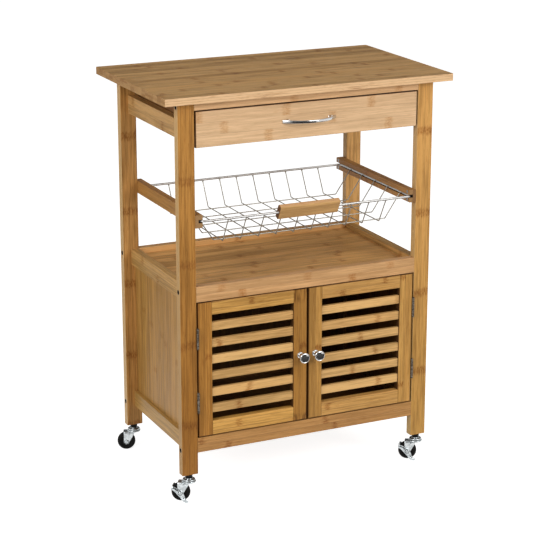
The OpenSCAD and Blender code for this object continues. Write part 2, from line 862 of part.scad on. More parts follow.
// A door rail with its stub tenons
module left_door_rail(low_z, h, play) {
    x = -door_out_x + stile_w;
    span = door_w - 2 * stile_w;
    if (play == 0) board([x + fit, 0, low_z], [span - 2 * fit, door_t, h], "x");
    block([x - stile_tenon - play, door_t / 4 - play, low_z + h / 4 - play],
        [span + 2 * stile_tenon + 2 * play, door_t / 2 + 2 * play, h / 2 + 2 * play]);
}

module left_door_rails(play) {
    left_door_rail(door_z, door_bottom_rail_h, play);
    left_door_rail(door_z + door_h - door_top_rail_h, door_top_rail_h, play);
}

module left_knob_bore(d) {
    rod([-knob_x, -cut, door_mid_z], d, door_t + 2 * cut, "y");
}

module left_door_screws(play = 0) {
    for (side = [-1, 1], dz = [-1, 1]) {
        sunk_screw([-door_out_x - leaf_t, hinge_screw_y,
                    door_mid_z + side * hinge_offset + dz * hinge_screw_dz],
            hinge_screw_d + 2 * play, hinge_head_d + 2 * play, hinge_screw_len + play);
    }
}

module left_door_frame() {
    difference() {
        for (x = [-door_out_x, -door_mid_gap / 2 - stile_w]) {
            board([x, 0, door_z], [stile_w, door_t, door_h], "z");
        }
        left_door_rails(fit);
        left_slats(fit);
        left_knob_bore(metal_screw_d + 2 * fit);
        left_door_screws(fit);
    }
    left_door_rails(0);
}

// A base, a neck and a cone that carries the rounded head
knob_base_h = 2.5;
knob_cone_h = 6;
knob_head_h = 6;
knob_edge_r = 3;
knob_screw_in = 7;
module left_knob() {
    head_z = knob_reach - knob_head_h;
    translate([-knob_x, 0, door_mid_z]) rotate([90, 0, 0]) difference() {
        union() {
            cylinder(d = 0.62 * knob_d, h = knob_base_h);
            cylinder(d = 0.36 * knob_d, h = head_z);
            translate([0, 0, head_z - knob_cone_h])
                cylinder(d1 = 0.45 * knob_d, d2 = knob_d, h = knob_cone_h);
            translate([0, 0, head_z]) rotate_extrude() {
                square([knob_d / 2 - knob_edge_r, knob_head_h]);
                square([knob_d / 2, knob_head_h - knob_edge_r]);
                translate([knob_d / 2 - knob_edge_r, knob_head_h - knob_edge_r]) circle(knob_edge_r);
            }
        }
        translate([0, 0, -cut]) cylinder(d = metal_screw_d + 2 * fit, h = knob_screw_in + fit + cut);
    }
    translate([-knob_x, 0, door_mid_z]) {
        rod([0, -knob_screw_in, 0], metal_screw_d, knob_screw_in + door_t + cut, "y");
        rod([0, door_t + fit, 0], metal_head_d, metal_head_h, "y");
    }
}

// One knuckle of a hinge from its lower end
module knuckle(low_z, h) {
    translate([-pin_x, pin_y, low_z]) cylinder(d = knuckle_d, h = h);
}

module hinge_pin_bore(low_z) {
    rod([-pin_x, pin_y, low_z - cut], hinge_pin_d + 2 * running_fit, hinge_h + 2 * cut, "z");
}

// A leaf flat on the face at x, from the pin to the back
module leaf(x, low_z) {
    block([x, pin_y, low_z], [leaf_t, leaf_w - pin_y, hinge_h]);
}

module left_frame_leaves() {
    for (side = [-1, 1]) {
        low_z = door_mid_z + side * hinge_offset - hinge_h / 2;
        difference() {
            union() {
                leaf(-bay_x, low_z);
                knuckle(low_z, knuckle_h);
                knuckle(low_z + hinge_h - knuckle_h, knuckle_h);
            }
            block([-bay_x - cut, pin_y - knuckle_d, low_z + knuckle_h],
                [door_side_gap + cut, knuckle_d + leaf_start_y - pin_y, knuckle_h]);
            hinge_pin_bore(low_z);
            left_hinge_screws(fit);
        }
        rod([-pin_x, pin_y, low_z - hinge_pin_out], hinge_pin_d, hinge_h + 2 * hinge_pin_out, "z");
    }
}

module left_door_leaves() {
    for (side = [-1, 1]) {
        low_z = door_mid_z + side * hinge_offset - hinge_h / 2;
        difference() {
            union() {
                block([-door_out_x - leaf_t, pin_y, low_z + knuckle_h + knuckle_gap],
                    [leaf_t, leaf_w - pin_y, knuckle_h - 2 * knuckle_gap]);
                block([-door_out_x - leaf_t, leaf_start_y, low_z],
                    [leaf_t, leaf_w - leaf_start_y, hinge_h]);
                knuckle(low_z + knuckle_h + knuckle_gap, knuckle_h - 2 * knuckle_gap);
            }
            hinge_pin_bore(low_z);
            left_door_screws(fit);
        }
    }
    left_door_screws();
    block([-catch_x - catch_w / 2, door_t, catch_nose_z - (striker_h - catch_nose_h) / 2],
        [catch_w, striker_t, striker_h]);
}

module hinge_frame_leaves() color(zinc) placed() both_sides() left_frame_leaves();

// Magnetic catches under the tray floor, behind the front rim, each with two lugs
catch_nose_z = door_z + door_h - catch_nose_h - 4;
module left_catch_screws(play = 0) {
    for (side = [-1, 1]) {
        rod([-catch_x + side * (catch_w + catch_lug_w) / 2, leg_d + fit + catch_d / 2,
             tray_floor_z - catch_lug_h - fit], catch_screw_d + 2 * play,
            catch_lug_h + fit + floor_t / 2 + play, "z");
    }
}

module left_catch() {
    nose_y = door_t + striker_t + 0.3;
    body_y = leg_d + fit;
    top = tray_floor_z - fit;
    difference() {
        union() {
            block([-catch_x - catch_w / 2, body_y, top - catch_h], [catch_w, catch_d, catch_h]);
            block([-catch_x - catch_w / 2 - catch_lug_w, body_y, top - catch_lug_h],
                [catch_w + 2 * catch_lug_w, catch_d, catch_lug_h]);
            block([-catch_x - catch_w / 2 + 2, nose_y, catch_nose_z],
                [catch_w - 4, body_y + cut - nose_y, catch_nose_h]);
        }
        left_catch_screws(fit);
    }
}

module door_catches() color(black) placed() both_sides() left_catch();

module door_left_frame() color(honey) placed() left_door_frame();
module door_left_slats() color(pale) placed() left_slats(0);
module door_left_knob() color(steel) placed() left_knob();
module door_left_leaves() color(zinc) placed() left_door_leaves();
module door_right_frame() color(honey) placed() on_side(true) left_door_frame();
module door_right_slats() color(pale) placed() on_side(true) left_slats(0);
module door_right_knob() color(steel) placed() on_side(true) left_knob();
module door_right_leaves() color(zinc) placed() on_side(true) left_door_leaves();

// ---- casters, made with the stem at the origin and the wheel trailing along +X ----

module caster_place(right, is_back) {
    translate([right ? stem_xs : -stem_xs, is_back ? back_stem_y : front_stem_y, 0])
        rotate([0, 0, is_back ? back_trail_turn : front_trail_turn]) children();
}

// The stem with its riveted end under the crown and the upper race, and the black bush
// under the leg
module caster_stem() {
    low_z = crown_z - rivet_gap - rivet_h;
    bush_z = upper_race_z + upper_race_h + fit;
    translate([0, 0, low_z]) cylinder(d = stem_d, h = leg_z + stem_in - low_z);
    translate([0, 0, low_z]) cylinder(d = stem_d + 4, h = rivet_h);
    translate([0, 0, upper_race_z]) rotate_extrude() {
        square([race_d / 2, 2]);
        square([race_d / 2 - 2, upper_race_h - 1]);
        square([stem_d / 2 + 3.5, upper_race_h]);
    }
    translate([0, 0, bush_z]) difference() {
        cylinder(d = 2 * stem_d, h = leg_z - fit - bush_z);
        translate([0, 0, -cut]) cylinder(d = stem_d + 2 * fit, h = leg_z - bush_z + 2 * cut);
    }
}

module caster_stems() color(zinc) placed() {
    for (right = [false, true], is_back = [false, true]) caster_place(right, is_back) caster_stem();
}

// One side plate of the fork in the X-Z plane
module fork_outline() {
    heel = [-fork_heel, crown_z];
    reach = heel - [trail, axle_z];
    a = atan2(reach.y, reach.x) + acos(fork_end_r / norm(reach));
    polygon([heel, [trail + fork_end_r * cos(a), axle_z + fork_end_r * sin(a)], [trail, axle_z],
        [trail + fork_end_r, axle_z], [trail + fork_end_r, lower_race_z],
        [-fork_heel, lower_race_z]]);
    translate([trail, axle_z]) circle(fork_end_r);
}

module axle_bore(d, half) {
    translate([trail, half, axle_z]) rotate([90, 0, 0]) cylinder(d = d, h = 2 * half);
}

module fork(with_brake) {
    axle_half = with_brake ? brake_out + 0.6 : fork_out + 0.4;
    difference() {
        union() {
            for (y = [fork_out, -fork_in]) translate([0, y, 0]) rotate([90, 0, 0])
                linear_extrude(fork_t) fork_outline();
            translate([0, 0, crown_z]) linear_extrude(fork_t) {
                circle(race_d / 2 - 2);
                translate([-fork_heel, -fork_out])
                    square([trail + fork_end_r + fork_heel, 2 * fork_out]);
            }
            translate([0, 0, lower_race_z]) rotate_extrude() {
                square([race_d / 2 - 2.5, lower_race_h]);
                translate([0, 1]) square([race_d / 2, lower_race_h - 1]);
            }
        }
        translate([0, 0, crown_z - cut])
            cylinder(d = stem_d + 2 * running_fit, h = upper_race_z - crown_z + cut);
        axle_bore(axle_d + 2 * fit, fork_out + cut);
    }
    axle_bore(axle_d, axle_half + eps);
    for (y = [axle_half + axle_head_h, -axle_half]) translate([trail, y, axle_z])
        rotate([90, 0, 0]) cylinder(d = axle_head_d, h = axle_head_h);
}

module wheel() {
    tyre_r = wheel_w / 3;
    tyre_in_r = wheel_d / 2 - 8;
    hub_half = fork_in - hub_gap;
    bore_r = axle_d / 2 + running_fit;
    web_half = wheel_w / 2 - 1.5;
    translate([trail, 0, axle_z]) rotate([90, 0, 0]) rotate_extrude() {
        translate([bore_r, -hub_half]) square([hub_wall, 2 * hub_half]);
        translate([bore_r, -web_half]) square([tyre_in_r + cut - bore_r, 2 * web_half]);
        translate([tyre_in_r, -wheel_w / 2]) square([wheel_d / 2 - tyre_r - tyre_in_r, wheel_w]);
        translate([tyre_in_r, -wheel_w / 2 + tyre_r])
            square([wheel_d / 2 - tyre_in_r, wheel_w - 2 * tyre_r]);
        for (y = [-1, 1] * (wheel_w / 2 - tyre_r)) translate([wheel_d / 2 - tyre_r, y]) circle(tyre_r);
    }
}

// A brake lever turns on the axle: two cheeks, a bar over the tread and, on the outer
// cheek, an arm down to the foot tab
bar_lean = 32;
bar_w = 9;
bar_in_r = wheel_d / 2 + 0.8;
arm_lean = 243;
arm_w = 7;
arm_len = axle_z - 2.5;
tab_len = 10;
tab_out = 7;

module brake_cheek(with_arm) {
    difference() {
        union() {
            circle(bar_w * 0.67);
            rotate(bar_lean) translate([0, -bar_w / 2]) square([bar_in_r + brake_t, bar_w]);
            if (with_arm) rotate(arm_lean) translate([0, -arm_w / 2]) square([arm_len, arm_w]);
        }
        circle(d = axle_d + 2 * running_fit);
    }
}

module brake() {
    arm_end = [arm_len * cos(arm_lean), arm_len * sin(arm_lean)];
    translate([trail, 0, axle_z]) {
        translate([0, brake_out, 0]) rotate([90, 0, 0]) linear_extrude(brake_t) brake_cheek(true);
        translate([0, -brake_in, 0]) rotate([90, 0, 0]) linear_extrude(brake_t) brake_cheek(false);
        rotate([0, -bar_lean, 0])
            block([bar_in_r, -brake_out, -bar_w / 2], [brake_t, 2 * brake_out, bar_w]);
        block([arm_end.x - tab_len, brake_in, arm_end.y], [tab_len + arm_w / 2, tab_out, brake_t]);
    }
}

module fork_front_left() color(zinc) placed() caster_place(false, false) fork(true);
module fork_front_right() color(zinc) placed() caster_place(true, false) fork(true);
module fork_back_left() color(zinc) placed() caster_place(false, true) fork(false);
module fork_back_right() color(zinc) placed() caster_place(true, true) fork(false);
module wheel_front_left() color(black) placed() caster_place(false, false) wheel();
module wheel_front_right() color(black) placed() caster_place(true, false) wheel();
module wheel_back_left() color(black) placed() caster_place(false, true) wheel();
module wheel_back_right() color(black) placed() caster_place(true, true) wheel();
module brake_front_left() color(steel) placed() caster_place(false, false) brake();
module brake_front_right() color(steel) placed() caster_place(true, false) brake();

table_top();
leg_front_left();
leg_front_right();
leg_back_left();
leg_back_right();
upper_rail_left();
upper_rail_right();
tray_rail_left();
tray_rail_right();
bottom_rail_left();
bottom_rail_right();
side_panel_left();
side_panel_right();
top_rail_front();
top_rail_back();
tray_rim_front();
tray_rim_back();
apron_front();
apron_back();
tray_floor();
cupboard_floor();
back_panel();
drawer_strip_left();
drawer_strip_right();
basket_runner_left();
basket_runner_right();
frame_screws();
frame_dowels();
hinge_frame_leaves();
door_catches();
caster_stems();
drawer_front();
drawer_side_left();
drawer_side_right();
drawer_back();
drawer_bottom();
drawer_handle();
basket_rim();
basket_long_wires();
basket_cross_wires();
basket_grip();
door_left_frame();
door_left_slats();
door_left_knob();
door_left_leaves();
door_right_frame();
door_right_slats();
door_right_knob();
door_right_leaves();
fork_front_left();
fork_front_right();
fork_back_left();
fork_back_right();
wheel_front_left();
wheel_front_right();
wheel_back_left();
wheel_back_right();
brake_front_left();
brake_front_right();
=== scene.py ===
import bpy
import bmesh
from math import sin, cos, pi, radians, sqrt, atan2
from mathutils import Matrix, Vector


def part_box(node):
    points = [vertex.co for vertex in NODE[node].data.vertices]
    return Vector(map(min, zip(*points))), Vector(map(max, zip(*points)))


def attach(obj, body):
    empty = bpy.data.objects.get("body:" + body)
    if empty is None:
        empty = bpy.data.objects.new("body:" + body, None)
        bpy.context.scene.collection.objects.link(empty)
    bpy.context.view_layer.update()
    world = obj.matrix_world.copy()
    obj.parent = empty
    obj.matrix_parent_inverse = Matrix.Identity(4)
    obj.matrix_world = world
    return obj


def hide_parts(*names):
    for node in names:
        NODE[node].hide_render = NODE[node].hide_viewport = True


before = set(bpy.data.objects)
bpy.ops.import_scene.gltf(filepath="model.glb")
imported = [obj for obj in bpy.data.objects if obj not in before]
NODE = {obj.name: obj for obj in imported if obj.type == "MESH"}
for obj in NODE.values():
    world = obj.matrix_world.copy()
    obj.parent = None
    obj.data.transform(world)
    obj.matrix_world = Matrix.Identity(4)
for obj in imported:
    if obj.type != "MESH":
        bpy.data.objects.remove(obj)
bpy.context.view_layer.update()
LEFT, RIGHT = "_left", "_right"


def add_object(name, data):
    obj = bpy.data.objects.new(name, data)
    bpy.context.scene.collection.objects.link(obj)
    return obj


# ------------------------------ camera

LENS, SENSOR = 123.29, 36.0
CLIP_START, CLIP_END = 0.1, 60.0
CAMERA_AZIMUTH, CAMERA_ELEVATION, CAMERA_DISTANCE = -25.13, 16.66, 3.9998
CAMERA_TARGET = Vector((-0.00308, 0.0105, 0.42159))


def make_camera():
    data = bpy.data.cameras.new("camera")
    data.lens = LENS
    data.sensor_width = SENSOR
    data.clip_start, data.clip_end = CLIP_START, CLIP_END
    camera = add_object("camera", data)
    az, el = radians(CAMERA_AZIMUTH), radians(CAMERA_ELEVATION)
    ahead = Vector((-sin(az) * cos(el), cos(az) * cos(el), -sin(el)))
    camera.location = CAMERA_TARGET - ahead * CAMERA_DISTANCE
    camera.rotation_euler = ahead.to_track_quat("-Z", "Y").to_euler()
    bpy.context.scene.camera = camera


# ------------------------------ colours and material nodes

def lin(r, g, b):
    """A colour written as 0-255 display values, in the linear values that a shader takes."""
    return tuple((c / 255 / 12.92) if c < 11 else ((c / 255 + 0.055) / 1.055) ** 2.4 for c in (r, g, b))


def times(colour, factor):
    return tuple(c * factor for c in colour)


class Graph:
    """A material and the few calls that build its nodes. at is the place in metres in the row frame
    at rest, and normal the surface's direction there."""

    def __init__(self, name):
        self.mat = bpy.data.materials.new(name)
        self.mat.use_nodes = True
        self.tree = self.mat.node_tree
        self.tree.nodes.clear()
        out = self.add("ShaderNodeOutputMaterial")
        self.bsdf = self.add("ShaderNodeBsdfPrincipled")
        self.tree.links.new(self.bsdf.outputs[0], out.inputs[0])
        place = self.add("ShaderNodeTexCoord")
        self.at, self.normal = place.outputs["Object"], place.outputs["Normal"]

    def add(self, kind, **props):
        node = self.tree.nodes.new(kind)
        for key, value in props.items():
            setattr(node, key, value)
        return node

    def put(self, value, socket):
        if isinstance(value, bpy.types.NodeSocket):
            self.tree.links.new(value, socket)
        else:
            if socket.type == "RGBA" and len(value) == 3:
                value = (*value, 1.0)
            socket.default_value = value

    def math(self, op, *values, clamp=False):
        node = self.add("ShaderNodeMath", operation=op, use_clamp=clamp)
        for i, value in enumerate(values):
            self.put(value, node.inputs[i])
        return node.outputs[0]

    def mul(self, a, b):
        return self.math("MULTIPLY", a, b)

    def plus(self, a, b):
        return self.math("ADD", a, b)

    def minus(self, a, b):
        return self.math("SUBTRACT", a, b)

    def size(self, a):
        """A value without its sign."""
        return self.math("ABSOLUTE", a)

    def clamp(self, a):
        return self.math("ADD", a, 0.0, clamp=True)

    def step(self, value, low, high, to_low=0.0, to_high=1.0):
        """A soft step of a value between two limits."""
        node = self.add("ShaderNodeMapRange", interpolation_type="SMOOTHSTEP")
        for i, v in enumerate((value, low, high, to_low, to_high)):
            self.put(v, node.inputs[i])
        return node.outputs[0]

    def fall(self, value, low, high):
        """A soft step down, from one to nothing."""
        return self.step(value, low, high, 1.0, 0.0)

    def vec(self, x, y, z):
        node = self.add("ShaderNodeCombineXYZ")
        for i, v in enumerate((x, y, z)):
            self.put(v, node.inputs[i])
        return node.outputs[0]

    def split(self, vector):
        node = self.add("ShaderNodeSeparateXYZ")
        self.put(vector, node.inputs[0])
        return node.outputs

    def mm(self):
        """The place in mm, as three sockets."""
        return [self.mul(c, 1000.0) for c in self.split(self.at)]

    def noise(self, vector, scale, detail, rough, twist=0.0):
        node = self.add("ShaderNodeTexNoise")
        self.put(vector, node.inputs["Vector"])
        node.inputs["Scale"].default_value = scale
        node.inputs["Detail"].default_value = detail
        node.inputs["Roughness"].default_value = rough
        node.inputs["Distortion"].default_value = twist
        return node.outputs[0]

    def chance(self, vector):
        """Three random numbers that depend on a vector only."""
        node = self.add("ShaderNodeTexWhiteNoise", noise_dimensions="3D")
        self.put(vector, node.inputs["Vector"])
        return self.split(node.outputs["Color"])

    def blend(self, share, a, b, mode="MIX"):
        node = self.add("ShaderNodeMix", data_type="RGBA", blend_type=mode, clamp_factor=True)
        for i, v in zip((0, 6, 7), (share, a, b)):
            self.put(v, node.inputs[i])
        return node.outputs[2]

    def shade(self, share, colour, tint):
        """A colour multiplied by a tint, as far as share says."""
        return self.blend(share, colour, self.blend(1.0, colour, tint, "MULTIPLY"))

    def choose(self, share, a, b):
        node = self.add("ShaderNodeMix", data_type="FLOAT")
        for i, v in zip((0, 2, 3), (share, a, b)):
            self.put(v, node.inputs[i])
        return node.outputs[0]

    def set(self, **values):
        for key, value in values.items():
            self.put(value, self.bsdf.inputs[key.replace("_", " ")])

    def base(self):
        """The base colour as it has been built so far."""
        return self.bsdf.inputs["Base Color"].links[0].from_socket

    # painted shade: the colour built so far, multiplied by a tint as far as share says
    def paint_shade(self, share, tint):
        self.set(Base_Color=self.shade(share, self.base(), tint))

    # painted shade: covers the colour built so far with a dark one
    def cover(self, share, colour):
        self.set(Base_Color=self.blend(share, self.base(), colour))

    def bump(self, height, depth):
        node = self.add("ShaderNodeBump")
        node.inputs["Distance"].default_value = depth
        self.put(height, node.inputs["Height"])
        self.put(node.outputs[0], self.bsdf.inputs["Normal"])


def wear(node, mat):
    """Gives a CAD node one material."""
    data = NODE[node].data
    data.materials.clear()
    data.materials.append(mat)
    for face in data.polygons:
        face.material_index = 0


# ------------------------------ bamboo

# noise drawn out along the grain: steps per mm along, across and through, then detail and roughness
STREAKS = dict(fine=(0.024, 0.95, 0.95, 3.0, 0.6), mid=(0.011, 0.30, 0.30, 2.0, 0.6),
               broad=(0.0045, 0.08, 0.10, 1.0, 0.5), tooth=(0.004, 0.30, 0.30, 3.0, 0.7),
               pepper=(0.16, 0.55, 0.55, 2.0, 0.6), dash=(0.02, 0.75, 0.75, 2.0, 0.5),
               fleck=(0.05, 0.50, 0.50, 2.0, 0.6))
FLECK_TINT, SEAM_COLOUR = (0.74, 0.62, 0.46), (0.10, 0.045, 0.015)
SPECKS_PER_MM = 1.3
WOOD_GLOSS, WOOD_RELIEF = 0.24, 0.00022


def streaks(g, cane, kind):
    *steps, detail, rough = STREAKS[kind]
    return g.noise(g.vec(*[g.mul(c, step) for c, step in zip(cane, steps)]), 1.0, detail, rough)


def cane_nodes(g, cane, spacing, wood):
    """The nodes of the cane: a peppered, saw-toothed band across each strip, the line in its middle
    and the stretch round it."""
    period = g.plus(wood["period"] * 0.8, g.mul(spacing, wood["period"] * 0.4))
    turn = g.math("FRACT", g.math("DIVIDE", cane[0], period))
    teeth = g.mul(g.minus(streaks(g, cane, "tooth"), 0.5), wood["tooth"])
    away = g.size(g.plus(g.mul(g.minus(turn, 0.5), period), teeth))
    pepper = g.step(streaks(g, cane, "pepper"), 0.38, 0.60, 0.25, 1.0)
    band = g.mul(g.fall(away, wood["node_half"] * 0.6, wood["node_half"] * 1.5), pepper)
    return band, g.fall(away, 0.5, 2.0), g.fall(away, 6.0, wood["streak_len"])


def seams(g, cells, facing):
    """Thin dark lines between strips and between layers, where a face cuts across them.
    A cell is its (count so far, size in mm, mm to the full dark, mm to none)."""
    lines = []
    for (count, size, full, none), face in zip(cells, facing):
        to_edge = g.mul(g.minus(0.5, g.size(g.minus(g.math("FRACT", count), 0.5))), size)
        lines.append(g.mul(g.fall(to_edge, full, none), g.fall(face, 0.5, 0.8)))
    return g.math("MAXIMUM", *lines)


def grain(g, place, facing, low, strip, layer, seed, wood):
    """Laminated bamboo. place is (u, v, w) in mm along the grain, across the strips and through the
    layers, facing the share of the normal along each, and low the (v, w) where the first strip starts.
    strip and layer are the sizes of one strip."""
    u, v, w = place
    row = g.math("DIVIDE", g.minus(v, low[0]), strip)
    ply = g.math("DIVIDE", g.minus(w, low[1]), layer)
    row_id, ply_id = g.math("FLOOR", row), g.math("FLOOR", ply)
    shift, lift, spacing = g.chance(g.vec(row_id, ply_id, seed))
    strength, tone_id, warmth = g.chance(g.vec(g.plus(row_id, 31.7), ply_id, seed + 5.0))
    # each strip is cut from another place of the cane
    cane = (g.plus(u, g.mul(shift, 900.0)), g.plus(v, g.mul(lift, 300.0)), w)

    fine = g.step(streaks(g, cane, "fine"), 0.28, 0.72)
    mid = g.step(streaks(g, cane, "mid"), 0.30, 0.70)
    broad = g.step(streaks(g, cane, "broad"), 0.32, 0.68)
    fleck = g.step(streaks(g, cane, "fleck"), 0.56, 0.70)
    band, core, near = cane_nodes(g, cane, spacing, wood)
    strong = g.step(strength, 0.9 - wood["node_share"], 1.1 - wood["node_share"])
    limit = g.minus(wood["dash_at"], g.mul(near, 0.05))
    dash = g.step(g.minus(streaks(g, cane, "dash"), limit), 0.0, 0.10)
    seam = seams(g, ((row, strip, 0.12, 0.55), (ply, layer, 0.10, 0.40)), facing[1:])

    tone = 0.5
    for part, name in ((tone_id, "strip"), (mid, "mid"), (broad, "broad"), (fine, "fine")):
        tone = g.plus(tone, g.mul(g.minus(part, 0.5), wood[name + "_tone"]))
    colour = g.blend(g.clamp(tone), wood["dark"], wood["light"])
    colour = g.shade(g.mul(g.step(warmth, 0.55, 1.0), wood["hue_share"]), colour, wood["hue"])
    colour = g.blend(g.mul(g.step(facing[1], 0.6, 0.8), wood["edge_share"]), colour, wood["edge"])
    node_share = g.mul(g.mul(strong, g.step(facing[1], 0.4, 0.7, 1.0, 0.25)), wood["node_deep"])
    colour = g.shade(g.mul(band, node_share), colour, wood["node"])
    colour = g.shade(g.mul(core, g.mul(node_share, wood["core"])), colour, wood["node"])
    dash_share = g.mul(g.mul(dash, wood["dash_deep"]), g.plus(0.4, g.mul(near, 0.6)))
    colour = g.shade(dash_share, colour, wood["dash"])
    colour = g.shade(g.mul(fleck, wood["fleck"]), colour, FLECK_TINT)
    colour = g.blend(g.mul(seam, wood["seam"]), colour, SEAM_COLOUR)

    # end grain: darker, with the cut fibre bundles as specks
    end = g.step(facing[0], 0.6, 0.85)
    specks = g.noise(g.vec(g.mul(v, SPECKS_PER_MM), g.mul(w, SPECKS_PER_MM), seed), 1.0, 2.0, 0.6)
    end_tone = g.plus(g.mul(tone_id, 0.45), g.mul(g.step(specks, 0.4, 0.65), 0.45))
    g.set(Base_Color=g.blend(end, colour, g.blend(end_tone, wood["end_dark"], wood["end_light"])))

    node_mark = g.mul(band, strong)
    rough = g.plus(wood["rough"], g.mul(g.minus(fine, 0.5), 0.22))
    rough = g.plus(rough, g.plus(g.mul(node_mark, 0.06), g.mul(end, 0.2)))
    g.set(Roughness=g.clamp(rough), Specular_IOR_Level=WOOD_GLOSS)
    height = g.plus(g.plus(g.mul(fine, 0.35), g.mul(mid, 0.25)), g.mul(node_mark, 0.25))
    height = g.minus(g.minus(height, g.mul(seam, 0.9)), g.mul(dash, 0.25))
    g.bump(height, WOOD_RELIEF)


BASE = dict(period=240.0, tooth=30.0, node_half=6.0, node_share=0.75, node_deep=0.8, core=0.35,
            streak_len=60.0, dash_at=0.66, dash_deep=0.5, strip_tone=0.75, mid_tone=0.75,
            broad_tone=0.45, fine_tone=0.42, hue=(0.97, 0.91, 0.84), hue_share=0.6,
            edge_share=0.0, edge=(0.5, 0.3, 0.15), node=(0.56, 0.38, 0.21), dash=(0.46, 0.30, 0.18),
            seam=0.4, fleck=0.55, end_dark=lin(112, 76, 42), end_light=lin(186, 146, 98), rough=0.42)


def look(mid, spread=0.19, **more):
    """A bamboo look around one display colour: lighter strips, and darker ones that are warmer."""
    r, g, b = lin(*mid)
    light = (r * (1 + spread), g * (1 + spread), b * (1 + 1.1 * spread))
    dark = (r * (1 - spread), g * (1 - 1.15 * spread), b * (1 - 1.4 * spread))
    return {**BASE, "light": light, "dark": dark, **more}


PALE = dict(node=(0.80, 0.65, 0.47), node_half=8.0, dash_deep=0.22, seam=0.22, tooth=14.0,
            mid_tone=0.6, fine_tone=0.4, fleck=0.3)
LEG = dict(period=190.0, node=(0.54, 0.38, 0.21), node_deep=0.85, node_share=0.95, mid_tone=0.9,
           node_half=8.0, core=0.12, edge=lin(214, 176, 120), edge_share=0.85, hue=(1.0, 0.95, 0.85),
           fleck=0.6)
SIDE = dict(hue=(0.94, 0.97, 0.82), node=(0.66, 0.48, 0.30), mid_tone=0.8)
PANEL = dict(SIDE, fleck=0.3, strip_tone=0.5, seam=0.2, node_deep=0.45, node_share=0.5)
TOP = dict(node=(0.60, 0.44, 0.28), dash=(0.36, 0.22, 0.13), dash_deep=0.85, dash_at=0.58,
           mid_tone=0.9, period=230.0, edge=lin(224, 184, 138), edge_share=1.0,
           end_dark=lin(140, 96, 52), end_light=lin(206, 166, 112), hue=(0.98, 0.92, 0.82),
           hue_share=0.7, strip_tone=1.1)
FLOOR = dict(node=(0.62, 0.46, 0.30), dash=(0.40, 0.26, 0.16), dash_deep=0.55, dash_at=0.63,
             mid_tone=0.85)
RIM_BOARD = dict(PALE, node_deep=1.0)
# the drawer front's top and bottom faces are darker: painted shade in the gaps above and below it
DRAWER_FRONT = dict(PALE, edge=lin(120, 80, 42), edge_share=0.8)
# the grip's top and bottom faces are paler: a painted highlight on its top face
GRIP = dict(hue_share=0.2, node_share=1.0, edge=lin(216, 170, 124), edge_share=0.8,
            end_dark=lin(84, 52, 28), end_light=lin(150, 106, 62))


# ---- painted shade, put on a board after its grain

# in mm: the joint screws of the legs, and the groove of a basket runner
FRONT_SCREW_Y, BACK_SCREW_Y = -160.25, 157.25
SCREW_Z = (114.5, 456.875, 836.25)
HOLE_FULL, HOLE_NONE = 4.7, 5.6
GROOVE_X, GROOVE_Z, GROOVE_HALF = (236.2, 245.0), 601.5, 3.1
# painted shade for the inside of a runner's groove and for the legs' screw holes
GROOVE_SHADE, HOLE_SHADE = (0.028, 0.017, 0.009), (0.018, 0.011, 0.007)
# the room inside the cupboard in metres, a millimetre into its walls
INSIDE_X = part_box("side_panel_right")[0][0] + 0.001
INSIDE_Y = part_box("back_panel")[0][1] + 0.001
INSIDE_Z = (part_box("cupboard_floor")[1][2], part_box("tray_floor")[0][2])
# painted shade: tints for what lies inside the cupboard and for the back panel's front face
INSIDE_SHADE_TINT, BACK_SHADE_TINT = (0.30, 0.25, 0.19), (0.20, 0.17, 0.12)
# painted shade along a front's border, in metres from the edge, and painted shade that darkens a leg
# towards the floor
BORDER_FULL, BORDER_NONE, BORDER_SHADE_TINT = 0.0008, 0.0014, (0.26, 0.19, 0.12)
FOOT_FULL, FOOT_NONE = 0.02, 0.80


def foot_painted_shade(g, tint):
    """Painted shade: darkens a leg towards its foot."""
    g.paint_shade(g.fall(g.split(g.at)[2], FOOT_FULL, FOOT_NONE), tint)


def front_painted_shade(g, tint):
    """Painted shade: darkens the face that looks forward, into the cupboard."""
    g.paint_shade(g.math("LESS_THAN", g.split(g.normal)[1], -0.5), tint)


def inside_painted_shade(g):
    """Painted shade: darkens what lies inside the cupboard."""
    x, y, z = g.split(g.at)
    inner = g.mul(g.math("LESS_THAN", g.size(x), INSIDE_X), g.math("LESS_THAN", y, INSIDE_Y))
    inner = g.mul(inner, g.math("GREATER_THAN", z, INSIDE_Z[0]))
    g.paint_shade(g.mul(inner, g.math("LESS_THAN", z, INSIDE_Z[1])), INSIDE_SHADE_TINT)


def border_painted_shade(g, node, all_round):
    """Painted shade in the gaps round a front: darkens its last millimetre all round, or all but its lower
    edge.
    """
    low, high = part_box(node)
    x, _, z = g.split(g.at)
    near = g.math("MINIMUM", g.minus(x, low[0]), g.minus(high[0], x))
    near = g.math("MINIMUM", near, g.minus(high[2], z))
    if all_round:
        near = g.math("MINIMUM", near, g.minus(z, low[2]))
    g.paint_shade(g.mul(g.fall(near, BORDER_FULL, BORDER_NONE), 0.9), BORDER_SHADE_TINT)


def groove_painted_shade(g):
    """Painted shade: darkens the inside of a runner's groove, which opens towards the middle."""
    x, _, z = g.mm()
    out = g.size(x)
    deep = g.mul(g.math("GREATER_THAN", out, GROOVE_X[0]), g.math("LESS_THAN", out, GROOVE_X[1]))
    away = g.size(g.minus(z, GROOVE_Z))
    g.cover(g.mul(deep, g.fall(away, GROOVE_HALF, GROOVE_HALF + 0.3)), GROOVE_SHADE)


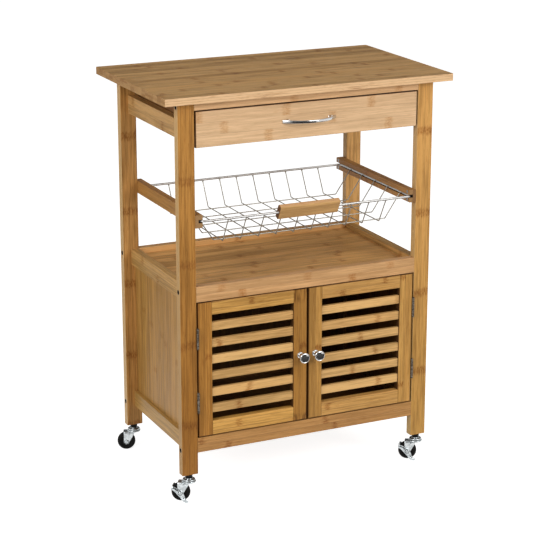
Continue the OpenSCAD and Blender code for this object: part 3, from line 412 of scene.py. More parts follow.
def screw_holes(g, y):
    """Painted shade: darkens the walls and lips of a leg's screw holes, which run along X."""
    dark = 0.0
    _, at_y, at_z = g.mm()
    for z in SCREW_Z:
        dy, dz = g.minus(at_y, y), g.minus(at_z, z)
        far = g.math("SQRT", g.plus(g.mul(dy, dy), g.mul(dz, dz)))
        dark = g.math("MAXIMUM", dark, g.fall(far, HOLE_FULL, HOLE_NONE))
    g.cover(dark, HOLE_SHADE)


# ---- boards, the frames of the doors and their slats

# the first strip starts this far outside its board, so that rounding adds none
HAIR, DOOR_HAIR = 0.01, 0.02
DOOR_STILE, DOOR_STRIP, DOOR_LAYER = 31.0, 15.5, 8.0
KNOT_TOP, KNOT_FOOT, KNOT_TINT = (0.395, 0.412), (0.160, 0.150), (0.34, 0.28, 0.2)
INNER_EDGE_SHADE = (0.22, 0.17, 0.11)
SLAT, SLATS, SLAT_LAYER = 18.0, 6, 9.2


def third_axis(along, wide):
    return next(a for a in "xyz" if a not in (along, wide))


def in_strips(g, along, wide):
    """The place in mm, and the share of the normal, along the grain, across the strips and through
    the layers."""
    order = ["xyz".index(a) for a in (along, wide, third_axis(along, wide))]
    mm, normal = g.mm(), g.split(g.normal)
    return [mm[i] for i in order], [g.size(normal[i]) for i in order]


def even_share(size, target):
    """The size next to target that divides a board evenly."""
    return size / max(1, round(size / target))


def board(node, along, wide, strip, layer, seed, wood, *painted_shades):
    """Gives one CAD board its bamboo, with the strips set out from its own edges, and its painted shade:
    each is a function and what it takes after the material."""
    low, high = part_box(node)
    i, j = "xyz".index(wide), "xyz".index(third_axis(along, wide))
    g = Graph("bamboo_" + node)
    place, facing = in_strips(g, along, wide)
    strip = even_share((high[i] - low[i]) * 1000, strip)
    layer = even_share((high[j] - low[j]) * 1000, layer)
    grain(g, place, facing, (low[i] * 1000 - HAIR, low[j] * 1000 - HAIR), strip, layer, seed, wood)
    for paint_shade, *values in painted_shades:
        paint_shade(g, *values)
    wear(node, g.mat)


def door_frame(node, seed, wood, tint_left, tint_right, knots):
    """Upright grain in the stiles and level grain in the rails, with painted shade along the edges all
    round.
    """
    low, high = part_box(node)
    g = Graph("bamboo_" + node)
    x, y, z = g.mm()
    size_x, size_y, size_z = [g.size(c) for c in g.split(g.normal)]
    low_x, high_x = low[0] * 1000, high[0] * 1000
    left = g.math("LESS_THAN", x, low_x + DOOR_STILE)
    right = g.math("GREATER_THAN", x, high_x - DOOR_STILE)
    upright = g.math("MAXIMUM", left, right)
    # shifts of 500 and 700 mm give the rails and the right stile strips of their own
    across = g.choose(upright, g.plus(z, 500.0), g.plus(x, g.mul(right, 700.0)))
    place = (g.choose(upright, x, z), across, y)
    facing = (g.choose(upright, size_x, size_z), g.choose(upright, size_z, size_x), size_y)
    first = (low_x - DOOR_HAIR, low[1] * 1000 - DOOR_HAIR)
    grain(g, place, facing, first, DOOR_STRIP, DOOR_LAYER, seed, wood)

    tint = g.blend(left, g.blend(right, (1.0, 1.0, 1.0), tint_right), tint_left)
    colour = g.blend(1.0, g.base(), tint, "MULTIPLY")
    # darker cane at both ends of the right stile
    height = g.split(g.at)[2]
    ends = g.math("MAXIMUM", g.step(height, *KNOT_TOP), g.step(height, *KNOT_FOOT))
    patches = g.noise(g.vec(g.mul(x, 0.16), 0.0, g.mul(z, 0.03)), 1.0, 2.0, 0.5)
    ends = g.mul(ends, g.step(patches, 0.42, 0.6))
    colour = g.shade(g.mul(ends, g.mul(right, knots)), colour, KNOT_TINT)
    # painted shade on the frame's inner faces that look across, into the slat gaps
    between = g.mul(g.math("GREATER_THAN", x, low_x + 5.0), g.math("LESS_THAN", x, high_x - 5.0))
    g.set(Base_Color=g.shade(g.mul(between, g.step(size_x, 0.6, 0.9)), colour, INNER_EDGE_SHADE))
    border_painted_shade(g, node, True)
    wear(node, g.mat)


def door_slats(node, seed, wood):
    """Each slat is one strip; the strips are as high as the slats' spacing."""
    low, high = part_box(node)
    pitch = ((high[2] - low[2]) * 1000 - SLAT) / (SLATS - 1)
    g = Graph("bamboo_" + node)
    place, facing = in_strips(g, "x", "z")
    first = (low[2] * 1000 - (pitch - SLAT) / 2, low[1] * 1000 - DOOR_HAIR)
    grain(g, place, facing, first, pitch, SLAT_LAYER, seed, wood)
    wear(node, g.mat)


def dress_boards():
    # painted shade for the boards where they reach into the cupboard
    inside = (inside_painted_shade,)
    front_holes, back_holes = (screw_holes, FRONT_SCREW_Y), (screw_holes, BACK_SCREW_Y)
    board("table_top", "x", "y", 20, 5, 3.0, look((182, 143, 91), 0.31, **TOP))
    # the front legs get painted shade, darker towards their feet
    board("leg_front_left", "z", "x", 36, 6.2, 11.0, look((168, 118, 54), 0.27, **LEG),
          (foot_painted_shade, (0.68, 0.60, 0.42)), front_holes)
    board("leg_front_right", "z", "x", 36, 6.2, 12.0, look((190, 143, 80), 0.27, **LEG),
          (foot_painted_shade, (0.84, 0.86, 0.74)), front_holes)
    board("leg_back_left", "z", "x", 36, 6.2, 13.0, look((176, 130, 72), 0.30, **LEG), inside, back_holes)
    board("leg_back_right", "z", "x", 36, 6.2, 14.0, look((202, 155, 92), 0.27, **LEG), inside, back_holes)
    for k, side in enumerate((LEFT, RIGHT)):
        board("upper_rail" + side, "y", "z", 19.5, 6, 21.0 + k, look((188, 147, 92), 0.25, **SIDE))
        board("tray_rail" + side, "y", "z", 17.5, 6, 23.0 + k, look((184, 143, 84), 0.27, **SIDE), inside)
        board("bottom_rail" + side, "y", "z", 17.5, 6, 25.0 + k, look((186, 146, 82), 0.25, **SIDE), inside)
        board("side_panel" + side, "z", "y", 20, 6, 27.0 + k, look((172, 129, 68), 0.26, **PANEL), inside)
        board("drawer_strip" + side, "y", "z", 20, 6, 33.0 + k, look((180, 134, 80)))
        board("basket_runner" + side, "y", "z", 27, 8, 35.0 + k, look((168, 122, 66), **SIDE),
              (groove_painted_shade,))
        # the drawer sides are darker: painted shade where they show in the gap under the table top
        board("drawer_side" + side, "y", "z", 27, 6, 37.0 + k, look((150, 106, 62), **FLOOR))
    board("top_rail_front", "x", "z", 18, 6, 41.0, look((213, 173, 127), **PALE))
    board("top_rail_back", "x", "z", 20, 6, 42.0, look((190, 144, 90)))
    board("tray_rim_front", "x", "z", 16.3, 6, 43.0, look((207, 162, 112), **RIM_BOARD))
    board("tray_rim_back", "x", "z", 16.3, 6, 44.0, look((204, 158, 100), hue_share=0.3), inside)
    board("apron_front", "x", "z", 16, 6, 45.0, look((184, 136, 80)))
    board("apron_back", "x", "z", 16, 6, 46.0, look((180, 134, 80)), inside)
    board("tray_floor", "x", "y", 20, 8, 47.0, look((200, 154, 92), 0.27, **FLOOR))
    # the cupboard floor is coloured dark: painted shade inside the cupboard
    board("cupboard_floor", "x", "y", 20, 8, 48.0, look((104, 70, 34), 0.2, **FLOOR))
    board("back_panel", "z", "x", 20, 6, 49.0, look((176, 132, 76), 0.22, **SIDE), (front_painted_shade, BACK_SHADE_TINT))
    board("drawer_front", "x", "z", 24.5, 7.5, 50.0, look((220, 183, 141), 0.15, **DRAWER_FRONT),
          (border_painted_shade, "drawer_front", False))
    board("drawer_back", "x", "z", 27, 6, 51.0, look((206, 166, 116), **PALE))
    board("drawer_bottom", "x", "y", 20, 4, 52.0, look((190, 146, 96), **FLOOR))
    board("frame_dowels", "x", "z", 6, 6, 53.0, look((206, 166, 116), **PALE))
    board("basket_grip", "x", "z", 33, 13, 54.0, look((194, 151, 94), 0.2, **GRIP))
    door_frame("door_left_frame", 60.0, look((196, 148, 76), 0.27, fleck=0.6),
               (0.74, 0.62, 0.46), (0.58, 0.50, 0.38), 0.75)
    door_frame("door_right_frame", 61.0, look((190, 144, 80), 0.25, fleck=0.6),
               (0.88, 0.84, 0.70), (0.98, 0.97, 0.88), 0.0)
    for k, side in enumerate((LEFT, RIGHT)):
        slat_look = look((206, 164, 104), 0.22, strip_tone=1.0, fleck=0.45)
        door_slats("door" + side + "_slats", 77.0 + k, slat_look)


# ------------------------------ metal, rubber and plastic

SUNK_X = 0.2700  # in metres: screws beyond this are the joint screws, sunk in the legs


def chrome(name, tint, rough):
    """Polished plate with faint cloudiness and fine wiping marks."""
    g = Graph(name)
    cloud = g.noise(g.at, 55.0, 3.0, 0.6)
    wiped = g.vec(*[g.mul(c, f) for c, f in zip(g.split(g.at), (900.0, 900.0, 160.0))])
    marks = g.noise(wiped, 1.0, 2.0, 0.5)
    g.set(Base_Color=g.blend(cloud, times(tint, 0.93), tint), Metallic=1.0)
    g.set(Roughness=g.plus(rough, g.plus(g.mul(cloud, 0.05), g.mul(marks, 0.04))))
    g.bump(marks, 0.00001)
    return g.mat


def zinc(name, tint, bluish, rough):
    """Zinc-plated pressed steel: bluish spangle, soft scratches and dull patches."""
    g = Graph(name)
    patch = g.noise(g.at, 120.0, 3.0, 0.6, 0.6)
    fine = g.noise(g.at, 900.0, 2.0, 0.6)
    colour = g.blend(g.step(patch, 0.35, 0.65), times(tint, 0.62), tint)
    g.set(Base_Color=g.blend(g.step(patch, 0.6, 0.8, 0.0, 0.5), colour, bluish), Metallic=1.0)
    g.set(Roughness=g.plus(rough, g.plus(g.mul(patch, 0.16), g.mul(fine, 0.08))))
    g.bump(g.plus(g.mul(patch, 0.6), g.mul(fine, 0.2)), 0.00006)
    return g.mat


def rubber(name, tint, rough):
    """Matt black moulding with a fine pebble and a dusty bloom."""
    g = Graph(name)
    pebble = g.noise(g.at, 1500.0, 2.0, 0.6)
    bloom = g.noise(g.at, 90.0, 3.0, 0.55)
    g.set(Base_Color=g.blend(g.mul(g.step(bloom, 0.35, 0.8), 0.6), tint, times(tint, 1.9)))
    g.set(Roughness=g.plus(rough, g.mul(g.minus(bloom, 0.5), 0.25)), Specular_IOR_Level=0.12)
    g.bump(pebble, 0.00004)
    return g.mat


def hinge_steel():
    """Thin dark plated steel, with a line at each knuckle."""
    g = Graph("hinge_steel")
    cloud = g.noise(g.at, 260.0, 3.0, 0.65)
    knuckle = g.math("FRACT", g.mul(g.split(g.at)[2], 110.0))
    line = g.fall(g.size(g.minus(knuckle, 0.5)), 0.04, 0.10)
    steel = g.blend(g.step(cloud, 0.35, 0.65), lin(84, 74, 62), lin(150, 142, 130))
    g.set(Base_Color=g.blend(line, steel, lin(46, 36, 26)), Metallic=g.mul(g.minus(1.0, line), 0.8))
    g.set(Roughness=g.plus(0.38, g.mul(cloud, 0.2)))
    g.bump(cloud, 0.00005)
    return g.mat


def screw_steel():
    """Zinc screws; the sunk joint screws in the legs are black."""
    g = Graph("screw_steel")
    outer = g.math("GREATER_THAN", g.size(g.split(g.at)[0]), SUNK_X)
    cloud = g.noise(g.at, 300.0, 2.0, 0.6)
    pale = g.blend(cloud, lin(150, 152, 152), lin(196, 199, 200))
    black = g.blend(cloud, lin(16, 12, 8), lin(34, 26, 18))
    g.set(Base_Color=g.blend(outer, pale, black), Metallic=g.minus(1.0, outer))
    g.set(Roughness=g.plus(g.choose(outer, 0.3, 0.6), g.mul(cloud, 0.2)))
    g.bump(cloud, 0.00003)
    return g.mat


CHROME = chrome("chrome_plate", (0.60, 0.60, 0.59), 0.08)
WIRE = chrome("chrome_wire", (0.43, 0.41, 0.36), 0.44)
RIM = chrome("chrome_rim", (0.57, 0.56, 0.54), 0.40)
ZINC = zinc("zinc_plate", lin(200, 206, 208), lin(176, 192, 206), 0.13)
RUBBER = rubber("black_rubber", lin(11, 10, 8), 0.62)
PLASTIC = rubber("black_plastic", lin(9, 8, 8), 0.45)

# where each stem stands in mm, and the turn from +X of the way in which its wheel trails
STEM_X, FRONT_STEM_Y, BACK_STEM_Y = 269.75, 9.25, 326.75
CASTERS = {"front_left": (-STEM_X, FRONT_STEM_Y, 150), "front_right": (STEM_X, FRONT_STEM_Y, 150),
           "back_left": (-STEM_X, BACK_STEM_Y, 162), "back_right": (STEM_X, BACK_STEM_Y, 162)}
BRAKED = ("front_left", "front_right")


def dress_metal():
    forks, levers = ["fork_" + name for name in CASTERS], ["brake_" + name for name in BRAKED]
    for mat, nodes in ((screw_steel(), ["frame_screws"]),
                       (CHROME, ["drawer_handle", "door_left_knob", "door_right_knob"]),
                       (RIM, ["basket_rim"]),
                       (WIRE, ["basket_long_wires", "basket_cross_wires"]),
                       (hinge_steel(), ["hinge_frame_leaves", "door_left_leaves", "door_right_leaves"]),
                       (ZINC, ["caster_stems"] + forks + levers),
                       (RUBBER, ["wheel_" + name for name in CASTERS]),
                       (PLASTIC, ["door_catches"])):
        for node in nodes:
            wear(node, mat)


# ------------------------------ pieces in mesh code

MM = 0.001
MID_Y = 169.5
WELD = 1e-6
X_WAY, Y_WAY, Z_WAY = (1, 0, 0), (0, 1, 0), (0, 0, 1)


def row(x, y, z):
    """A point in mm, with y counted from the legs' front faces, in the row frame in metres."""
    return Vector((x * MM, (y - MID_Y) * MM, z * MM))


class Shape:
    """Collects rings, turned parts and tubes in mm, then makes one object of them."""

    def __init__(self, place=lambda p: row(*p)):
        self.verts, self.faces = [], []
        self.place = place

    def rings(self, rings, caps=True):
        start, n = len(self.verts), len(rings[0])
        for ring in rings:
            self.verts.extend(self.place(Vector(p)) for p in ring)
        last = start + (len(rings) - 1) * n
        for a in range(start, last, n):
            for j in range(n):
                k = (j + 1) % n
                self.faces.append((a + j, a + k, a + n + k, a + n + j))
        if caps:
            self.faces.append(tuple(start + j for j in reversed(range(n))))
            self.faces.append(tuple(last + j for j in range(n)))

    def lathe(self, centre, axis, profile, n):
        """profile is [(radius, height)] along axis, from centre."""
        axis = Vector(axis).normalized()
        side = axis.orthogonal().normalized()
        other = axis.cross(side)
        turns = [2 * pi * j / n for j in range(n)]
        rings = []
        for r, h in profile:
            middle = Vector(centre) + axis * h
            rings.append([middle + side * r * cos(a) + other * r * sin(a) for a in turns])
        self.rings(rings)

    def tube(self, path, radius, n, closed=False):
        path = [Vector(p) for p in path]
        last = len(path) - 1
        turns = [2 * pi * j / n for j in range(n)]
        rings, side = [], None
        for i, point in enumerate(path):
            if closed:
                ahead = (path[(i + 1) % len(path)] - path[i - 1]).normalized()
            else:
                ahead = (path[min(i + 1, last)] - path[max(i - 1, 0)]).normalized()
            side = ahead.orthogonal() if side is None else side - ahead * side.dot(ahead)
            side.normalize()
            other = ahead.cross(side)
            rings.append([point + (side * cos(a) + other * sin(a)) * radius for a in turns])
        if closed:
            rings.append(rings[0])
        self.rings(rings, caps=not closed)

    def make(self, name, mat, body, nodes, sharp=40.0):
        """One object on a body, in place of the CAD nodes named. Edges over sharp degrees stay crisp."""
        mesh = bpy.data.meshes.new(name)
        mesh.from_pydata([tuple(v) for v in self.verts], [], self.faces)
        mesh.materials.append(mat)
        bm = bmesh.new()
        bm.from_mesh(mesh)
        bmesh.ops.remove_doubles(bm, verts=bm.verts, dist=WELD)
        bmesh.ops.recalc_face_normals(bm, faces=bm.faces)
        for face in bm.faces:
            face.smooth = True
        for edge in bm.edges:
            if len(edge.link_faces) == 2 and edge.calc_face_angle(0.0) > radians(sharp):
                edge.smooth = False
        bm.to_mesh(mesh)
        bm.free()
        obj = add_object(name, mesh)
        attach(obj, body)
        if nodes:
            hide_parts(*nodes)


def eased(points, radius, steps=5):
    """A path of straight runs with its corners rounded."""
    points = [Vector(p) for p in points]
    out = [points[0]]
    for a, b, c in zip(points, points[1:], points[2:]):
        u, v = (a - b), (c - b)
        half = u.angle(v) / 2
        cut = min(radius / max(1e-6, abs(sin(half) / cos(half))), u.length * 0.45, v.length * 0.45)
        start, end = b + u.normalized() * cut, b + v.normalized() * cut
        for i in range(steps + 1):
            t = i / steps
            out.append(start * (1 - t) ** 2 + b * 2 * t * (1 - t) + end * t ** 2)
    out.append(points[-1])
    return out


def smooth_path(points, steps):
    """A Catmull-Rom curve through tuples of numbers."""
    pts = [points[0]] + list(points) + [points[-1]]
    out = []
    for a, b, c, d in zip(pts, pts[1:], pts[2:], pts[3:]):
        for i in range(steps):
            t = i / steps
            out.append(tuple(0.5 * (2 * q + (r - p) * t + (2 * p - 5 * q + 4 * r - s) * t * t
                                    + (3 * q - p - 3 * r + s) * t ** 3)
                             for p, q, r, s in zip(a, b, c, d)))
    out.append(tuple(points[-1]))
    return out


# ---- basket: welded wire with rounded bends

RIM_X, RIM_Y0, RIM_Y1, RIM_Z, RIM_R, RIM_CORNER = 239.0, -1.0, 320.0, 601.5, 2.5, 9.0
WIRE_Z, WIRE_R, WIRE_BEND = 547.5, 1.2, 3.0
LONG_X = [-180 + 40 * i for i in range(10)]
CROSS_Y = [36 + 57 * i for i in range(5)]
WALL_RUN_Y, WALL_RUN_X, HOOK_X = 30, 41, 6
CROSS_LIFT = 2.3
BUTT_X = -60
BUTT_WELD = [(2.4, -3), (2.85, -1.2), (2.85, 1.2), (2.4, 3)]
RIM_WELD = [(0.3, -1.6), (1.6, -0.8), (1.9, 0.3), (1.5, 1.6), (1.15, 2.6)]
CROSS_WELD = [(0.2, -0.2), (1.5, 0.2), (1.7, 0.9), (1.3, 1.7), (0.3, 2.0)]


def make_basket_rim():
    path = []
    for side, y, start in ((1, RIM_Y0 + RIM_CORNER, -90), (1, RIM_Y1 - RIM_CORNER, 0),
                           (-1, RIM_Y1 - RIM_CORNER, 90), (-1, RIM_Y0 + RIM_CORNER, 180)):
        for i in range(9):
            a = radians(start + i * 90 / 8)
            x = side * (RIM_X - RIM_CORNER)
            path.append((x + RIM_CORNER * cos(a), y + RIM_CORNER * sin(a), RIM_Z))
    rim = Shape()
    rim.tube(path, RIM_R, 14, closed=True)
    rim.lathe((BUTT_X, RIM_Y1, RIM_Z), X_WAY, BUTT_WELD, 14)
    rim.make("basket_rim_wire", RIM, "basket", ["basket_rim"])


def make_basket_wires():
    wires = Shape()
    for x in LONG_X:
        ends = [(x, RIM_Y0, RIM_Z - 0.5), (x, RIM_Y0 + WALL_RUN_Y, WIRE_Z),
                (x, RIM_Y1 - WALL_RUN_Y, WIRE_Z), (x, RIM_Y1, RIM_Z - 0.5)]
        wires.tube(eased(ends, WIRE_BEND), WIRE_R, 9)
        for y, way in ((RIM_Y0, 1), (RIM_Y1, -1)):
            wires.lathe((x, y + way * 1.6, RIM_Z - 2.9), (0, way * 0.48, -0.87), RIM_WELD, 10)
    wires.make("basket_wires_along", WIRE, "basket", ["basket_long_wires"])

    wires = Shape()
    z = WIRE_Z + CROSS_LIFT
    for y in CROSS_Y:
        half = [(RIM_X - WALL_RUN_X, y, z), (RIM_X - HOOK_X, y, RIM_Z), (RIM_X, y, RIM_Z)]
        ends = [(-px, py, pz) for px, py, pz in reversed(half)] + half
        wires.tube(eased(ends, WIRE_BEND), WIRE_R, 9)
        for x in LONG_X:
            wires.lathe((x, y, z - 1.9), Z_WAY, CROSS_WELD, 8)
    wires.make("basket_wires_across", WIRE, "basket", ["basket_cross_wires"])


# ---- drawer handle and door knobs

HANDLE_Z, HANDLE_SCREW_X = 788.75, 48
BOW_R, BOW_CENTRE_Y, BOW_HALF_ANGLE = 78.46, 53.46, 47.5
BOW_STEPS, BOW_SIDES = 24, 28
KNOB_X, KNOB_Z = 17.5, 286
DRAWER_INNER_Y, DOOR_INNER_Y = 15.05, 16.05
HANDLE_POST = [(4.6, 0), (4.6, 0.5), (4.0, 1.2), (4.0, 7.2)]
SCREW_HEAD = [(1.0, 0), (4.0, 0), (4.0, 1.0), (3.2, 2.1), (1.2, 2.4), (0.8, 1.6)]
KNOB = [(7.1, 0.0), (7.1, 1.2), (6.5, 2.2), (5.2, 2.7), (4.4, 3.4), (3.9, 5.0), (3.9, 8.2),
        (4.3, 10.2), (5.4, 12.2), (7.4, 14.6), (9.6, 17.0), (10.9, 18.6), (11.4, 20.0),
        (11.5, 21.3), (11.3, 22.6), (10.8, 23.5), (10.0, 24.1), (9.3, 24.35), (8.9, 24.2),
        (8.7, 24.05), (8.3, 24.15), (6.5, 24.45), (4.0, 24.7), (1.2, 24.8), (0.3, 24.8)]


def signed_power(value, power):
    return abs(value) ** power * (1 if value > 0 else -1)


def make_handle():
    """A bow that widens towards its ends; its section is a superellipse."""
    handle = Shape(lambda p: row(p.x, p.y, p.z + HANDLE_Z))
    rings = []
    for i in range(2 * BOW_STEPS + 1):
        t = i / BOW_STEPS - 1
        a = radians(BOW_HALF_ANGLE * t)
        thick = 3.6 + 2.2 * abs(t) ** 3
        tall = 5.8 + 2.2 * abs(t) ** 2.2
        ring = []
        for j in range(BOW_SIDES):
            b = 2 * pi * j / BOW_SIDES
            r = BOW_R + signed_power(cos(b), 0.55) * thick / 2
            z = signed_power(sin(b), 0.62) * tall / 2
            ring.append((r * sin(a), min(BOW_CENTRE_Y - r * cos(a), -0.02), z))
        rings.append(ring)
    handle.rings(rings)
    for x in (-HANDLE_SCREW_X, HANDLE_SCREW_X):
        handle.lathe((x, 0, 0), (0, -1, 0), HANDLE_POST, 28)
        handle.lathe((x, DRAWER_INNER_Y, 0), Y_WAY, SCREW_HEAD, 24)
    handle.make("drawer_pull", CHROME, "drawer", ["drawer_handle"])


def make_knob(side, x):
    knob = Shape()
    knob.lathe((x, 0, KNOB_Z), (0, -1, 0), KNOB, 56)
    knob.lathe((x, DOOR_INNER_Y, KNOB_Z), Y_WAY, SCREW_HEAD, 24)
    knob.make("knob" + side, CHROME, "door" + side, ["door" + side + "_knob"])


# ---- casters, in mm from the floor under the stem, with the axle at x = TRAIL

TRAIL, AXLE_Z = 17.0, 20.0
AXLE_R, AXLE_HALF, AXLE_HALF_BRAKED = 2.4, 10.8, 13.0
STEM = [(3.9, 92), (4.0, 91), (4.0, 59.8), (4.0, 51.3), (5.6, 51.2), (7.0, 51.0), (7.6, 50.6),
        (7.9, 49.8), (9.3, 49.7), (11.2, 49.7), (12.4, 49.4), (13.2, 48.8), (13.6, 48.0),
        (13.5, 47.3), (13.0, 46.9), (10.4, 46.6), (4.0, 46.5), (4.0, 41.0), (6.0, 40.9),
        (6.0, 39.6), (5.2, 38.9), (0.5, 38.9)]
BALLS, BALL_RING_R, BALL_Z = 10, 9.9, 49.35
BALL_MARK = [(1.4, -0.5), (1.4, 0.1), (1.0, 0.5), (0.2, 0.62)]
BUSH = [(4.15, 51.5), (6.2, 51.5), (7.2, 52.0), (7.6, 53.0), (7.6, 55.2), (7.9, 56.2), (8.0, 59.2),
        (7.6, 59.85), (4.15, 59.85)]
RACE = [(4.2, 41.0), (12.4, 41.0), (13.6, 41.4), (14.5, 42.2), (14.95, 43.4), (14.9, 44.5),
        (14.3, 45.3), (13.4, 45.7), (12.4, 45.7), (11.4, 45.2), (10.6, 44.6), (4.2, 44.6)]
AXLE_HEAD = [(2.4, -0.2), (3.7, 0.0), (3.75, 0.35), (3.2, 0.9), (2.0, 1.2), (1.1, 1.15), (0.8, 0.7),
             (0.2, 0.6)]
WASHER = [(2.45, 0), (5.0, 0), (5.0, 0.3), (2.45, 0.3)]
# the moulded wheel from its hub over the dished web and the raised edge to the tread
HALF_WHEEL = [(2.56, 8.25), (5.2, 8.25), (5.8, 7.9), (6.3, 6.4), (7.4, 5.9), (10.0, 5.95), (12.0, 6.3),
              (13.0, 7.0), (14.2, 7.45), (15.6, 7.4), (17.2, 6.9), (18.6, 5.7), (19.5, 4.1),
              (19.9, 2.2), (20.0, 0.5)]


def make_stem(name, place):
    stem = Shape(place)
    stem.lathe((0, 0, 0), Z_WAY, STEM, 56)
    for i in range(BALLS):
        a = 2 * pi * i / BALLS + 0.2
        stem.lathe((BALL_RING_R * cos(a), BALL_RING_R * sin(a), BALL_Z), Z_WAY, BALL_MARK, 12)
    stem.make("stem_" + name, ZINC, "frame", ["caster_stems"])
    bush = Shape(place)
    bush.lathe((0, 0, 0), Z_WAY, BUSH, 40)
    bush.make("bush_" + name, PLASTIC, "frame", ())


# the fork's cheeks: round about the axle, then leaning back to the heel under the crown
CHEEK_R, CHEEK_Y, CHEEK_BEND, BEND_Z = 6.0, 9.5, 2.6, 39.5
HEEL_X, HEEL_Z, CROWN_Y = -2.0, 41.2, (-4.5, -2, 0, 2, 4.5)
CHEEK_Z = (14.05, 14.3, 14.8, 15.6, 16.8, 18.3, 20, 22, 24, 26, 28, 30, 32, 34, 36, 38, BEND_Z)
BEND_ANGLES = (22, 45, 68, 90)
SHEET_HALF, RIB_RISE, RIB_HALF, RIB_LOW, RIB_HIGH = 0.9, 0.9, 2.4, 22.0, 39.0
FORK_STEPS = 14


def clamped(value):
    return max(0.0, min(1.0, value))


def fork_line():
    """The fork's sheet seen from behind, in (y, z): up one cheek, over the crown and down the other."""
    line = [(-CHEEK_Y, z) for z in CHEEK_Z]
    for a in BEND_ANGLES:
        line.append((-CHEEK_Y + CHEEK_BEND * (1 - cos(radians(a))), BEND_Z + CHEEK_BEND * sin(radians(a))))
    return line + [(y, BEND_Z + CHEEK_BEND) for y in CROWN_Y] + [(-y, z) for y, z in reversed(line)]


def cheek_edges(z):
    """Where a cheek starts and ends along x, at one height."""
    heel = Vector((HEEL_X - TRAIL, HEEL_Z - AXLE_Z))
    tangent = atan2(heel.y, heel.x) + pi / 2 - atan2(CHEEK_R, sqrt(heel.length ** 2 - CHEEK_R ** 2))
    touch = Vector((TRAIL + CHEEK_R * cos(tangent), AXLE_Z + CHEEK_R * sin(tangent)))
    half = sqrt(max(0.0, CHEEK_R ** 2 - (z - AXLE_Z) ** 2))
    if z <= AXLE_Z:
        return TRAIL - half, TRAIL + half
    if z < touch.y:
        return TRAIL - half, TRAIL + CHEEK_R
    t = (z - touch.y) / (HEEL_Z - touch.y)
    return touch.x + (HEEL_X - touch.x) * t, TRAIL + CHEEK_R


def make_fork(name, place):
    """One bent sheet, with a channel pressed down each cheek and its edges turned in."""
    line = fork_line()
    rings = []
    for i, (y, z) in enumerate(line):
        ahead = Vector(line[min(i + 1, len(line) - 1)]) - Vector(line[max(i - 1, 0)])
        away_from_wheel = Vector((-ahead.y, ahead.x)).normalized()
        start, end = cheek_edges(min(z, HEEL_Z))
        press = clamped((z - RIB_LOW) / 3.0) * clamped((RIB_HIGH - z) / 3.0)
        rib_x = TRAIL - 9.0 * max(0.0, z - AXLE_Z) / 22.0
        outer, inner = [], []
        for j in range(FORK_STEPS + 1):
            t = j / FORK_STEPS
            x = start + (end - start) * t
            rib = RIB_RISE * press * max(0.0, 1 - ((x - rib_x) / RIB_HALF) ** 2)
            turn_in = 0.5 * max(0.0, abs(t - 0.5) * 2 - 0.85) / 0.15
            for points, rise in ((outer, SHEET_HALF + rib - turn_in), (inner, rib - SHEET_HALF)):
                q = Vector((y, z)) + away_from_wheel * rise
                points.append((x, q.x, q.y))
        rings.append(outer + inner[::-1])
    fork = Shape(place)
    fork.rings(rings)
    fork.make("fork_sheet_" + name, ZINC, "caster_" + name, ["fork_" + name], sharp=50.0)


def make_race_and_axle(name, place):
    half = AXLE_HALF_BRAKED if name in BRAKED else AXLE_HALF
    bits = Shape(place)
    bits.lathe((0, 0, 0), Z_WAY, RACE, 56)
    bits.lathe((TRAIL, 0, AXLE_Z), Y_WAY, [(AXLE_R, -half), (AXLE_R, half)], 24)
    washer = Shape(place)
    for way in (1, -1):
        bits.lathe((TRAIL, way * half, AXLE_Z), (0, way, 0), AXLE_HEAD, 28)
        washer.lathe((TRAIL, way * (half - 0.35), AXLE_Z), (0, way, 0), WASHER, 24)
    bits.make("fork_race_" + name, ZINC, "caster_" + name, ())
    washer.make("washer_" + name, PLASTIC, "caster_" + name, ())


def make_wheel(name, place):
    profile = HALF_WHEEL + [(r, -h) for r, h in reversed(HALF_WHEEL)]
    wheel = Shape(place)
    wheel.lathe((TRAIL, 0, AXLE_Z), Y_WAY, profile + [profile[0]], 72)
    wheel.make("tread_" + name, RUBBER, "wheel_" + name, ["wheel_" + name])


# the brake lever, in mm from the axle
LEVER_LEAN, LEVER_Y, LEVER_REACH, LEVER_BEND, LEVER_WIDE, LEVER_THICK = 32, 11.65, 21.5, 2.2, 7.2, 1.4
# up the inner cheek: (way from the axle, width)
INNER_ARM = ((-5.4, 3.0), (-4.8, 6.5), (-3.0, 10.0), (0, 11.5), (4, 10.6), (9, 9.0), (14, 7.8), (18.5, 7.4))
OVER_TREAD_Y = (-9, -4, 0, 4, 9)
# down the outer cheek to the foot tab: (x, y, z, width, height of the rib)
OUTER_ARM = ((18.0, 11.65, 11.2, 7.2, 0.9), (12.5, 11.65, 8.4, 7.6, 1.0), (7.0, 11.65, 4.6, 9.6, 1.0),
             (2.0, 11.65, 0.6, 12.0, 0.3), (-1.5, 11.65, -3.8, 11.0, 0.6), (-4.3, 11.7, -8.4, 9.0, 1.0),
             (-6.2, 12.2, -12.2, 7.6, 0.7), (-8.2, 13.8, -14.8, 7.0, 0.2), (-10.8, 15.8, -15.9, 6.8, 0.0),
             (-14.0, 17.0, -15.9, 6.4, 0.0), (-17.4, 17.4, -15.2, 5.4, 0.0))
ACROSS_LEVER = (-1, -0.9, -0.6, -0.36, -0.18, 0, 0.18, 0.36, 0.6, 0.9, 1)


